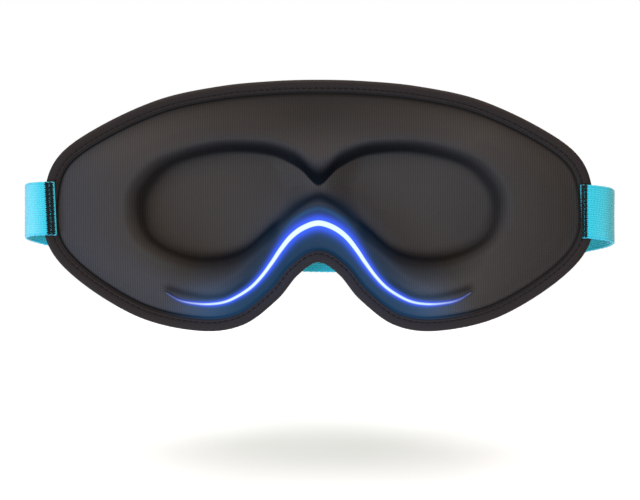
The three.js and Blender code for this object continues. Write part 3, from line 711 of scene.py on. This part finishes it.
def binding_material():
    made, tree, shader = new_material("binding_tape")
    where = coordinates(tree)
    twill = bands(tree, coordinates(tree, "UV"), 0.8, "DIAGONAL")
    weave = weighted(tree, (twill, 0.15), (noise(tree, where, 1800, 3), 0.8))
    tone = mix(tree, weave, rgb(27, 20, 17), rgb(45, 34, 29))
    tone = mix(tree, times(tree, noise(tree, where, 35), 0.5), tone, rgb(35, 31, 33))
    # A painted blue spill from the light line on the tape.
    shine(shader, mix(tree, attribute(tree, "spill"), NO_LIGHT, (0.001, 0.008, 0.022, 1)))
    finish(shader, weave, 0.4, 0.2, {
        "Base Color": tone, "Roughness": scaled(tree, weave, -0.15, 0.85),
        "Specular IOR Level": 0.15,
    })
    return made


def strap_material():
    """Woven elastic: ribs along the strap, picks across them, and a painted pale highlight at its
    fold.
    """
    made, tree, shader = new_material("strap_elastic")
    where = coordinates(tree, "UV")
    pick = scaled(tree, bands(tree, where, 1.1), 0.6, 0.4)
    rib = times(tree, bands(tree, where, 0.96, "Y"), pick)
    weave = weighted(tree, (rib, 0.6), (noise(tree, where, 1500, 3), 0.4))
    tone = mix(tree, weave, rgb(8, 148, 164), rgb(68, 198, 206))
    tone = mix(tree, times(tree, noise(tree, where, 30), 0.25), tone, rgb(30, 176, 198))
    # A painted pale highlight where the strap turns over its fold, from the opened values.
    tone = mix(tree, attribute(tree, "opened"), tone, rgb(156, 208, 210))
    tone = mix(tree, attribute(tree, "selvage"), tone, rgb(20, 158, 184))
    finish(shader, weave, 0.5, 0.3, {
        "Base Color": tone, "Roughness": scaled(tree, weave, -0.2, 0.8),
        "Sheen Weight": 0.30, "Sheen Roughness": 0.5, "Specular IOR Level": 0.2,
    })
    return made


def moulded(name, colour, dark, roughness, metallic, grain_scale, bump_mm):
    """Moulded plastic, rubber or metal: a fine grain, slow drift and faint scuffs."""
    made, tree, shader = new_material(name)
    where = coordinates(tree)
    scuff = noise(tree, stretched(tree, where, (1, 1, 6)), 70, 4)
    finish(shader, noise(tree, where, grain_scale, 4), 0.4, bump_mm, {
        "Base Color": mix(tree, scuff, rgb(*dark), rgb(*colour)), "Metallic": metallic,
        "Roughness": scaled(tree, scuff, 0.25, roughness - 0.1),
    })
    return made


def thread_material():
    made, tree, shader = new_material("thread")
    where = coordinates(tree)
    ply = bands(tree, where, 0.35, "DIAGONAL", 1.5)
    tone = times(tree, ply, noise(tree, where, 3000))
    finish(shader, ply, 0.4, 0.1, {
        "Base Color": mix(tree, tone, rgb(8, 7, 8), rgb(30, 27, 27)), "Roughness": 0.8,
        "Specular IOR Level": 0.2,
    })
    return made


def guide_material():
    """Clear silicone lit from within: white along its crown, blue at its sides and ends."""
    made, tree, shader = new_material("light_guide")
    glow = mix(tree, attribute(tree, "core"), (0.03, 0.07, 1.0, 1), (0.76, 1.0, 1.0, 1))
    ripple = times(tree, noise(tree, coordinates(tree), 300), 0.04)
    glow = mix(tree, ripple, glow, (0.3, 0.5, 1.0, 1))
    shine(shader, mix(tree, attribute(tree, "lit"), NO_LIGHT, glow))
    put((0.03, 0.04, 0.10, 1), shader.inputs["Base Color"])
    put(0.35, shader.inputs["Roughness"])
    return made


LINING = knit("lining_knit", (64, 57, 53), (49, 44, 41), 1.0, 0.0, lit=True)
COVER = knit("cover_knit", (62, 58, 60), (38, 36, 38), 1.4, 0.1)
BINDING = binding_material()
STRAP = strap_material()
THREAD = thread_material()
GUIDE = guide_material()
FOAM = moulded("memory_foam", (196, 192, 180), (170, 166, 154), 0.9, 0.0, 1400, 0.4)
FOAM_SHEET = moulded("foam_sheet", (130, 130, 134), (104, 104, 108), 0.9, 0.0, 1600, 0.4)
PLASTIC = moulded("dark_plastic", (44, 45, 49), (30, 31, 34), 0.5, 0.0, 1500, 0.08)
SILICONE = moulded("silicone", (62, 64, 70), (46, 48, 53), 0.65, 0.0, 2200, 0.04)
STEEL = moulded("steel", (196, 198, 202), (150, 152, 158), 0.32, 1.0, 2600, 0.02)
FILM = moulded("heating_film", (208, 150, 70), (170, 116, 48), 0.4, 0.3, 800, 0.03)
RIBBON = moulded("lead_ribbon", (222, 222, 214), (190, 190, 182), 0.55, 0.0, 900, 0.03)
BOARD = moulded("circuit_board", (38, 118, 78), (24, 84, 54), 0.45, 0.0, 700, 0.04)
LED = moulded("led", (236, 242, 252), (206, 214, 226), 0.25, 0.0, 900, 0.02)
CELL = moulded("battery_wrap", (160, 168, 178), (128, 136, 146), 0.35, 0.2, 500, 0.03)

# ------ soft body


def cloth_puff():
    """How far air and foam push the pinned lining out, as a grid round the loop and inwards."""
    grid = body_grid(30, [FOOT_INSET - 0.6], 19, 7)
    rest = layer_points(grid, depths(grid, creases=False).face)
    to_guide = to_polyline(grid.place, GUIDE_LINE)[0]
    mesh = bpy.data.meshes.new("lining_cloth")
    mesh.from_pydata((rest * MM).tolist(), [], grid.quads[:, ::-1].tolist())
    made = link("lining_cloth", mesh)
    held = ((grid.station <= 0) | (np.abs(grid.station - 1) < 0.03)
            | (grid.station >= 1.99) | (to_guide < 1.6))
    pin = made.vertex_groups.new(name="pin")
    pin.add(np.nonzero(held)[0].tolist(), 1.0, "REPLACE")
    cloth = made.modifiers.new("cloth", "CLOTH")
    set_all(cloth.settings, vertex_group_mass="pin", use_pressure=True,
            uniform_pressure_force=CLOTH_PRESSURE, tension_stiffness=CLOTH_STIFFNESS,
            compression_stiffness=CLOTH_STIFFNESS, bending_stiffness=CLOTH_BENDING)
    cloth.settings.effector_weights.gravity = 0
    set_all(cloth.point_cache, frame_start=1, frame_end=CLOTH_FRAMES)
    scene = bpy.context.scene
    for step in range(1, CLOTH_FRAMES + 1):
        scene.frame_set(step)
    moved = made.evaluated_get(bpy.context.evaluated_depsgraph_get()).data
    found = np.zeros(len(moved.vertices) * 3)
    moved.vertices.foreach_get("co", found)
    out = found.reshape(-1, 3)[:, 1] / MM - rest[:, 1]
    bpy.data.objects.remove(made)
    scene.frame_set(1)
    puff = np.clip(out, -PUFF_CAP, PUFF_CAP * 0.3)
    count, rows = grid.count, grid.rows
    table = puff[:rows * count].reshape(rows, count)
    stations = grid.station[:rows * count].reshape(rows, count)[:, 0]
    return stations, table


def puffed(grid, puff):
    """The cloth's movement at every point of a grid."""
    stations, table = puff
    count = table.shape[1]
    around = np.interp(grid.share, np.append(loop_share(count // 4), 1.0), np.arange(count + 1))
    inwards = np.interp(grid.station, stations, np.arange(len(stations)))
    a, b = np.floor(around).astype(int), np.floor(inwards).astype(int)
    u, v = around - a, inwards - b
    above = np.minimum(b + 1, len(stations) - 1)
    low = lerp(table[b, a % count], table[b, (a + 1) % count], u)
    high = lerp(table[above, a % count], table[above, (a + 1) % count], u)
    return lerp(low, high, v) * fade(1.25, 1.75, grid.station)


def outside_pod(grid):
    """Whether each quad lies outside the control pod's well."""
    width, height, corner = POD_BASE
    middle = grid.place[grid.quads].mean(axis=1)
    out = np.abs(middle - [0, POD_Z]) - [width / 2 + 0.4 - corner, height / 2 + 0.4 - corner]
    return np.linalg.norm(np.maximum(out, 0), axis=1) >= corner


def soft_layer(name, grid, low, high, material, slot, stands_for, keep=slice(None)):
    """A closed layer between two depths of the body's grid, and the grid points that it uses."""
    points, faces, used = slab_mesh(layer_points(grid, low), layer_points(grid, high),
                                    grid.quads[keep])
    made = make_object(name, points, faces, material, slot, stands_for)
    outward(made)
    return made, np.concatenate([used, used])


def build_body():
    fine = body_grid(110, [1.2, 2.6, 4.2, 5.2], 84, 24)
    coarse = body_grid(52, [1.2, 3.4, 5.2], 40, 12)
    puff = cloth_puff()
    deep = depths(fine)
    face = deep.face + puffed(fine, puff)
    lining, used = soft_layer("lining_fabric", fine, face, face + SKIN, LINING,
                              "lining_fabric", "face_lining")
    set_glow(lining, fine.place[used])
    # Painted shade and painted cool light, kept as values on the lining's points.
    for name, values in zip(("painted_shade", "cool"), fabric_shade(fine)):
        set_values(lining, name, values[used])
    cover, _ = soft_layer("cover_fabric", fine, deep.back - SKIN, deep.back, COVER,
                          "cover_fabric", "outer_cover", outside_pod(fine))
    deep = depths(coarse)
    around_pod = outside_pod(coarse)
    face = deep.face + puffed(coarse, puff) + SKIN + GAP
    foam_back = np.maximum(deep.middle - deep.slack / 2, face + 0.4)
    foam, _ = soft_layer("moulded_foam", coarse, face, foam_back, FOAM,
                         "memory_foam", "inner_foam", around_pod)
    sheet_low = deep.middle + deep.slack / 2
    sheet_high = np.maximum(deep.back - SKIN - GAP, sheet_low + 0.3)
    backing, _ = soft_layer("foam_backing", coarse, sheet_low, sheet_high, FOAM_SHEET,
                            "foam_sheet", "outer_foam", around_pod)


def lit_line(share):
    """The way from the line's middle to its ends, and the lit half width and strength there."""
    from_middle = np.abs(share - 0.5) * 2
    return from_middle, np.interp(from_middle, *LINE_WIDTH), np.interp(from_middle, *LINE_LIGHT)


def set_glow(piece, place):
    """The painted glow beside the light line, its painted spill down to the binding and up to the
    cups, and a painted highlight on the crest above the line's middle.
    """
    distance, share, side = to_polyline(place, GUIDE_LINE)
    from_middle, line, light = lit_line(share)
    below = side < 0
    halo = bell(np.maximum(distance - line, 0), HALO_WIDTH * line) * light
    halo *= lerp(1.0, 0.8, from_middle)
    reach = np.where(below, SPILL_BELOW, SPILL_ABOVE)
    spill = np.exp(-distance / reach) * fade(0.72, 1.0, from_middle)
    # A painted highlight on the fabric's crest above the middle of the line.
    crest = 6.2 - 12 * from_middle
    glint = bell(distance - crest, 1.0) * fade(0.08, 0.26, from_middle)
    set_values(piece, "halo", halo)
    set_values(piece, "spill", spill + 0.8 * glint * ~below)


# ------ edge binding and its stitches


def binding_section():
    """The tape's section round the edge, as (inset, depth) pairs, outside then inside."""
    turn = np.linspace(-math.pi / 2, math.pi / 2, 15)
    power = 2 / 2.6

    def fold(start, reach, half):
        inset = start + reach * (1 - np.abs(np.cos(turn)) ** power)
        depth = half * np.sign(np.sin(turn)) * np.abs(np.sin(turn)) ** power
        return np.stack([inset, depth], 1)

    flat = np.array([BINDING_WIDTH, 5.0, 4.6, 4.2, 3.95, 3.7, 3.4, 2.8])
    drop = np.array([0.50, 0.14, 0.0, 0.05, 0.34, 0.30, 0.04, 0.0])
    front = np.stack([flat, -BINDING_HALF + drop], 1)
    outer = np.concatenate([front, fold(0, 2.2, BINDING_HALF), (front * [1, -1])[::-1]])
    inner_half = BINDING_HALF - BINDING_FABRIC
    ends = np.array([[BINDING_WIDTH, -inner_half], [BINDING_WIDTH - 1, -inner_half]])
    inner = [ends, fold(BINDING_FABRIC, 1.6, inner_half), (ends * [1, -1])[::-1]]
    return outer, np.concatenate(inner)[::-1]


def build_binding():
    share = loop_share(300)
    outer, inner = binding_section()
    section = np.concatenate([outer, inner])
    outline, _ = edge_points(share, 0.0)
    travelled = np.cumsum(np.linalg.norm(outline - np.roll(outline, 1, axis=0), axis=1))
    length = travelled[-1]
    stitches = int(round(length / STITCH_PITCH))
    phase = travelled / length * stitches * 2 * math.pi
    sway = 0.10 * np.sin(travelled / 17.0 + 1.3) + 0.07 * np.sin(travelled / 6.1)
    rows = []
    for index, (inset, depth) in enumerate(section):
        pucker = 0.07 * np.cos(phase) * bell(inset - STITCH_INSET, 0.9)
        bulge = (pucker + 0.05 * sway) * np.sign(depth) if index < len(outer) else 0.0
        widening = 0.16 * sway if inset > BINDING_WIDTH - 1.2 else 0.0
        x, z = edge_points(share, inset + widening)[0].T
        rows.append(np.stack([x, depth + bulge + wrap(x), z], 1))
    points = np.stack(rows, 1).reshape(-1, 3)
    count, size = len(share), len(section)
    index = np.arange(count * size).reshape(count, size)
    right, up = np.roll(index, -1, axis=0), np.roll(index, -1, axis=1)
    both = np.roll(right, -1, axis=1)
    faces = np.stack([index, right, both, up], -1).reshape(-1, 4)
    made = make_object("binding_tape", points, faces, BINDING, "binding_tape", "edge_binding")
    outward(made)
    around = np.tile(travel(section), count)
    set_uv(made, np.stack([np.repeat(travelled, size), around], 1) * MM)
    # Painted spill from the light line on the tape, on its wearer side only.
    distance, at, _ = to_polyline(points[:, [0, 2]], GUIDE_LINE)
    taper = np.clip(np.sin(np.pi * at) ** 0.6 * 1.3 - 0.2, 0, 1)
    facing = fade(-1.5, 1.0, points[:, 1])
    set_values(made, "spill", np.exp(-distance / 9.0) * taper * 2.2 * facing)
    threads = build_stitches(stitches)


def build_stitches(stitches):
    """Lockstitches through the binding, seen as short threads on both sides."""
    line, _ = edge_points(np.linspace(0, 1, 6000, endpoint=False), STITCH_INSET)
    travelled = travel(line)
    pitch = travelled[-1] / stitches
    arch = np.array([-0.34, -0.16, -0.10, -0.16, -0.34])
    radius = np.array([0.12, 0.24, 0.27, 0.24, 0.12])
    parts = []
    for k in range(stitches):
        at = (k + 0.5) * pitch + 0.36 * pitch * np.linspace(-1, 1, 5)
        x, z = (np.interp(at, travelled, line[:, axis]) for axis in (0, 1))
        for side in (-1, 1):
            depth = wrap(x) + side * (BINDING_HALF - 0.10 + arch)
            parts.append(tube(np.stack([x, depth, z], 1), radius, 6))
    return make_object("binding_stitches", *joined(parts), THREAD, "thread")


# ------ light guide


def face_height(points):
    """The lining's depth at each x and z, from the body's own grid."""
    grid = body_grid(60, [5.2], 60, 8)
    deep = depths(grid).face
    found = []
    for point in points:
        square = np.sum((grid.place - point) ** 2, axis=1)
        nearest = np.argpartition(square, 6)[:6]
        weight = 1 / (square[nearest] + 0.02)
        found.append(np.sum(deep[nearest] * weight) / weight.sum())
    return np.array(found)


def build_guide():
    route = evenly(GUIDE_LINE, 0.7)
    along = unit(np.gradient(route, axis=0))
    out = np.stack([along[:, 1], -along[:, 0]], 1)
    share = np.linspace(0, 1, len(route))
    taper = np.sin(np.pi * share) ** 0.6
    taper[0] = taper[-1] = 0.0
    wide = lerp(0.25, GUIDE_HALF, taper)
    tall = GUIDE_CROWN * (0.35 + 0.65 * taper)
    base = np.pad(face_height(route), 4, mode="edge")
    base = np.convolve(base, np.ones(9) / 9, mode="valid")
    _, line, light = lit_line(share)
    turn = np.linspace(0, 2 * math.pi, 33)[:-1]
    rows, core = [], []
    for side, rise in zip(np.cos(turn), np.sin(turn)):
        x, z = (route + out * (side * wide)[:, None]).T
        lift = rise * (tall if rise > 0 else 0.5)
        rows.append(np.stack([x, base - 0.35 - lift, z], 1))
        core.append(fade(0, 1, (np.abs(side * wide) - line + 0.25) / 0.5) * light)
    strip = (np.stack(rows, 1).reshape(-1, 3), capped_faces(len(route), len(turn)))
    inwards = base[len(base) // 2] + 0.4 * np.arange(15)
    stub = tube(np.array([[0, depth, GUIDE_APEX[1]] for depth in inwards]), 1.1, 12)
    made = make_object("light_line", *joined([strip, stub]), GUIDE, "light_guide", "light_guide")
    outward(made)
    for name, values in (("core", np.stack(core, 1).ravel()), ("lit", np.repeat(light, len(turn)))):
        set_values(made, name, np.concatenate([values, np.zeros(len(stub[0]))]))


# ------ straps


def on_strap(along, depth):
    return (BUCKLE_START[0] + along * math.cos(BUCKLE_ANGLE), depth,
            BUCKLE_START[1] + along * math.sin(BUCKLE_ANGLE))


def half_turn(along, towards):
    radius = DOUBLED / 2
    return [on_strap(along + towards * radius * math.cos(a),
                     STRAP_DEPTH + radius + radius * math.sin(a))
            for a in np.linspace(-math.pi / 2, math.pi / 2, 13)]


def straight(start, end, depth, steps):
    return [on_strap(along, depth) for along in np.linspace(start, end, steps + 1)]


LEFT_ROUTE = [
    (-113.0, -13.0, -0.8), (-118, -13.5, -0.8), (-123.8, -12, -1.2), (-126, -7.5, -1.8),
    (-125.6, -1.5, -2.6), (-122, 3.6, -3.8), (-113, 8.4, -6), (-98, 11.6, -8.8),
    (-76, 13.2, -11.8), (-48, STRAP_DEPTH, -14.6), (-18, STRAP_DEPTH, -16.2),
    (8, STRAP_DEPTH, -16.8), on_strap(0, STRAP_DEPTH),
]
RIGHT_ROUTE = [
    (112.8, -13.2, -2.0), (118, -13.8, -2.3), (124.2, -12.2, -3.2), (126.9, -7.5, -4.1),
    (126.6, -1.5, -5.0), (123.4, 4, -6.2), (115.5, 9.6, -8),
    on_strap(OUTER_BAR + 7, STRAP_DEPTH - 0.2), on_strap(OUTER_BAR + 2, STRAP_DEPTH),
]
RIGHT_END = [
    on_strap(OUTER_BAR + 1, UPPER), on_strap(OUTER_BAR + 4, UPPER - 1.4),
    on_strap(OUTER_BAR + 7, STRAP_DEPTH + 1.9), on_strap(OUTER_BAR + 11, STRAP_DEPTH + 1.55),
]


def webbing(name, stands_for, path, body="mask_body", step=0.6, end_shear=0.0, folds=0.0):
    """Woven elastic along a path: ribs along it, round selvages with small loops."""
    path = evenly(np.asarray(path, float), step)
    travelled = np.arange(len(path)) * step
    along = unit(np.gradient(path, axis=0))
    lean = np.tile([0.0, 0.0, 1.0], (len(path), 1))
    buckled = ((path[:, 0] > BUCKLE_START[0]) & (path[:, 0] < 112)
               & (path[:, 1] > STRAP_DEPTH - 0.5))
    lean[buckled] = [-math.sin(BUCKLE_ANGLE), 0, math.cos(BUCKLE_ANGLE)]
    across = unit(lean - along * np.sum(along * lean, axis=1)[:, None])
    out = np.cross(along, across)
    across = across + along * (end_shear * fade(3, 10, travelled))[:, None]
    beat = np.abs(np.sin(math.pi * travelled / SELVAGE_PITCH))
    w = np.linspace(-1, 1, STRAP_RIBS * 2 + 1)
    edge = np.clip((1 - np.abs(w)) * STRAP_WIDTH / 2 / 0.9, 0, 1)
    crown = np.sqrt(1 - (1 - edge) ** 2) * 0.75 + 0.25
    rib = 0.06 * np.abs(np.sin(np.arange(len(w)) * math.pi / 2))
    half = STRAP_THICK / 2 * crown + rib - 0.05
    section_w = np.concatenate([w, w[::-1]])
    section_t = np.concatenate([half, -half[::-1]])
    loops = np.sign(section_w) * (np.abs(section_w) > 0.93) * 0.16
    points = []
    for i in range(len(path)):
        reach = section_w * (STRAP_WIDTH / 2 - 0.1) + loops * beat[i]
        points.append(path[i] + np.outer(reach, across[i]) + np.outer(section_t, out[i]))
    size = len(section_w)
    faces = wall_faces(len(path), size)
    for start in (0, (len(path) - 1) * size):
        for k in range(start, start + len(w) - 1):
            opposite = 2 * start + size - 1 - k
            quad = (k, k + 1, opposite - 1, opposite)
            faces.append(quad if start else quad[::-1])
    made = make_object(name, np.concatenate(points), faces, STRAP, "strap_elastic",
                       stands_for, body)
    outward(made)
    uv = np.stack([np.repeat(travelled, size), np.tile(section_w * STRAP_WIDTH / 2, len(path))], 1)
    set_uv(made, uv * MM)
    dashes = 0.35 + 0.5 * (beat < 0.45)
    set_values(made, "selvage", np.outer(dashes, smooth(0.90, 0.95, np.abs(section_w))).ravel())
    # A painted pale highlight over the strap's fold, weighted by folds.
    opened = 0.36 * smooth(4, 12, travelled) * fade(15, 22, travelled) * folds
    set_values(made, "opened", np.repeat(opened, size))
    return made, (STRAP_WIDTH * MM, len(path) * step * MM)


def zigzag(name, stands_for, columns, front, low, high, lean=0.0):
    """Dense zigzag stitching: columns of (centre x, half width) between two heights."""
    legs = int((high - low) / ZIGZAG_PITCH)
    parts = []
    for centre, half in columns:
        points = []
        for k in range(legs + 1):
            z = low + (high - low) * k / legs
            reach = half * (1.06 if k // 2 % 2 else 0.88)
            x = centre + lean * (z - (low + high) / 2) + reach * (1 if k % 2 else -1)
            points.append((x, front(x) - 0.12, z))
        parts.append(tube(evenly(open_curve(points, legs * 4), 0.28), THREAD_RADIUS, 6))
    return make_object(name, *joined(parts), THREAD, "thread", stands_for)


def strap_front(route):
    """The depth of a strap's outer surface over its stitched end, by x."""
    path = open_curve(route, 400)[:60]
    order = np.argsort(path[:, 0])
    return lambda x: float(np.interp(x, path[order, 0], path[order, 1])) - STRAP_THICK / 2


def build_straps():
    left_path = np.concatenate([
        open_curve(LEFT_ROUTE, 240), straight(4, RING_AT - 3, STRAP_DEPTH, 20),
        half_turn(RING_AT, 1), straight(RING_AT - 1, RING_AT - 2, UPPER, 2),
    ])
    left, left_flat = webbing("strap_band_left", "strap_left", left_path,
                              end_shear=-STITCH_LEAN, folds=1.0)
    right_path = np.concatenate([
        open_curve(RIGHT_ROUTE, 140), half_turn(OUTER_BAR, -1), open_curve(RIGHT_END, 24),
    ])
    right, right_flat = webbing("strap_band_right", "strap_right", right_path,
                                end_shear=-0.08, folds=0.3)
    left_tacks = [
        zigzag(f"strap_stitch_left_{end}", f"bar_tack_left_{end}", [column],
               strap_front(LEFT_ROUTE), -12.0, 10.4, STITCH_LEAN)
        for end, column in (("outer", (-116.2, 0.92)), ("inner", (-114.4, 0.88)))
    ]
    right_tack = zigzag("strap_stitch_right", "bar_tack_right", [(114.75, 0.56), (113.4, 0.7)],
                        strap_front(RIGHT_ROUTE), -13.2, 9.3)
    back, back_flat = webbing("strap_band_return", "strap_return",
                              straight(RING_AT - 2.4, SLIDER_AT + 2.6, UPPER, 60))
    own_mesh(back)
    loop_path = [on_strap(SLIDER_AT + 2.2, UPPER), on_strap(SLIDER_AT + 0.8, UPPER)]
    for turn in math.pi / 2 + math.radians(243) * np.arange(1, 30) / 29:
        loop_path.append(on_strap(SLIDER_AT + 1.9 * math.cos(turn),
                                  UPPER - 1.9 + 1.9 * math.sin(turn)))
    loop, loop_flat = webbing("strap_band_end", "strap_end_loop", loop_path, "slider", 0.4)


# ------ hard pieces


def repaint(piece, material):
    piece.data.materials.clear()
    piece.data.materials.append(material)


def bevelled(node_name, material, width, segments=3):
    """A copy of a CAD piece with its edges rounded over."""
    source = frame["nodes"][node_name]
    made = link(node_name + "_finish", source.data.copy())
    repaint(made, material)
    made.modifiers.new("weld", "WELD").merge_threshold = 0.02 * MM
    set_all(made.modifiers.new("flat", "DECIMATE"), decimate_type="DISSOLVE",
            angle_limit=math.radians(1))
    set_all(made.modifiers.new("bevel", "BEVEL"), width=width * MM, segments=segments,
            limit_method="ANGLE", angle_limit=math.radians(35), harden_normals=True)
    made.modifiers.new("level", "WEIGHTED_NORMAL").keep_sharp = True
    made.data.shade_smooth()
    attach(made, source["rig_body"])
    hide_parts(node_name)


def build_hard_pieces():
    plastic = {"pod_cover": 0.35, "pod_base": 0.2, "strap_ring": 0.4, "strap_slider": 0.4}
    for name, width in plastic.items():
        bevelled(name, PLASTIC, width)
    for name, width in {"heat_button": 0.25, "massage_button": 0.25, "port_cover": 0.3}.items():
        bevelled(name, SILICONE, width)
    bevelled("ring_bar_tack", THREAD, 0.15, 2)

    def both(name):
        return f"{name}_left", f"{name}_right"

    plain = {
        PLASTIC: ["temperature_sensor", *both("motor_case")],
        SILICONE: both("motor_sleeve"),
        STEEL: ["heat_switch", "massage_switch", "charging_socket", *both("motor"),
                *both("motor_weight"), *(f"pod_screw_{k}" for k in range(1, 5))],
        FILM: both("heating_film"),
        RIBBON: ["led_lead", *both("heater_lead"), *both("motor_lead")],
        BOARD: ["circuit_board", "led_board"],
        LED: ["status_lens", "status_led", *both("led")],
        CELL: ["battery"],
    }
    for material, names in plain.items():
        for name in names:
            repaint(frame["nodes"][name], material)


# ------ stage, lights and camera


def aim(thing, place, target):
    """Puts a light or the camera in its place, turned towards the target."""
    thing.location = place
    thing.rotation_mode = "QUATERNION"
    thing.rotation_quaternion = Vector(np.subtract(target, place)).to_track_quat("-Z", "Y")


def build_world():
    """A white backdrop for the camera, and a dimmer fill for the object."""
    world = bpy.data.worlds.new("studio")
    bpy.context.scene.world = world
    tree = empty_tree(world)
    seen = node(tree, "Background", {"Color": (1, 1, 1, 1), "Strength": 1.0})
    fill = node(tree, "Background", {"Color": (1.0, 0.98, 0.96, 1), "Strength": WORLD_FILL})
    direct = node(tree, "LightPath").outputs["Is Camera Ray"]
    blend = node(tree, "MixShader", {0: direct, 1: fill.outputs[0], 2: seen.outputs[0]})
    node(tree, "OutputWorld", {"Surface": blend.outputs[0]})


def build_floor():
    """Paper under the object, painted darker in its middle where the object's shadow falls. It
    fades out at its edges and doesn't show from below.
    """
    wide, deep = FLOOR_HALF
    mesh = bpy.data.meshes.new("floor")
    corners = [(-wide, -deep, 0), (wide, -deep, 0), (wide, deep, 0), (-wide, deep, 0)]
    mesh.from_pydata(corners, [], [(0, 1, 2, 3)])
    floor = link("floor", mesh)
    floor.location = FLOOR_PLACE
    floor.rotation_euler = (FLOOR_TILT, 0, 0)
    made = bpy.data.materials.new("floor_paper")
    tree = empty_tree(made)
    where = coordinates(tree)

    def outwards(half, start, end):
        """0 to 1 between two shares of the way out to an ellipse of these half sizes."""
        scaled_place = stretched(tree, where, (1 / half[0], 1 / half[1], 1))
        distance = node(tree, "VectorMath", {0: scaled_place}, operation="LENGTH")
        inputs = {"Value": distance.outputs["Value"], "From Min": start, "From Max": end}
        return node(tree, "MapRange", inputs, interpolation_type="SMOOTHSTEP").outputs["Result"]

    # Painted shade: darker paper under the object, so its cast shadow shows only there.
    paper = mix(tree, outwards(FLOOR_SHADE_PATCH, 0.02, 0.40), (0.68, 0.70, 0.68, 1),
                (0.98, 0.98, 0.98, 1))
    behind = node(tree, "NewGeometry").outputs["Backfacing"]
    clear = maths(tree, "MAXIMUM", outwards(FLOOR_HALF, 0.55, 0.98), behind)
    diffuse = node(tree, "BsdfDiffuse", {"Color": paper}).outputs[0]
    nothing = node(tree, "BsdfTransparent").outputs[0]
    blend = node(tree, "MixShader", {0: clear, 1: diffuse, 2: nothing})
    node(tree, "OutputMaterial", {"Surface": blend.outputs[0]})
    mesh.materials.append(made)


def build_lights():
    for name, place, target, size, power, colour in (
        ("key", (-0.6, -1.1, 0.62), (0, 0, 0), 0.6, 7.8, (1.0, 0.92, 0.84)),
        ("top", (0.0, 0.02, 1.2), (0, 0, -0.1), 1.0, 17, (1.0, 1.0, 1.0)),
        ("cool", (-1.0, -0.8, -0.5), (-0.03, 0, -0.01), 0.6, 15, (0.42, 0.66, 1.0)),
        ("under", (0.1, -1.1, -0.45), (0, 0, -0.03), 0.5, 7.0, (0.72, 0.88, 1.0)),
        ("back", (0.3, 1.5, 0.6), (0, 0, 0), 0.8, 7.0, (1.0, 1.0, 1.0)),
        ("warm", (1.2, -0.7, 0.3), (0.03, 0, 0), 0.6, 3.5, (1.0, 0.78, 0.60)),
    ):
        data = bpy.data.lights.new(name, "AREA")
        set_all(data, shape="DISK", size=size, energy=power, color=colour)
        aim(link(name, data), place, target)


def build_camera():
    data = bpy.data.cameras.new("camera")
    set_all(data, lens=LENS, sensor_width=SENSOR, clip_start=0.05, clip_end=20)
    made = link("camera", data)
    aim(made, np.subtract(VIEW_TARGET, (0, VIEW_WIDTH * LENS / SENSOR, 0)), VIEW_TARGET)
    bpy.context.scene.camera = made


bpy.context.scene.view_settings.view_transform = "Standard"
build_camera()
build_world()
build_floor()
build_lights()
build_body()
build_binding()
build_guide()
build_straps()
build_hard_pieces()
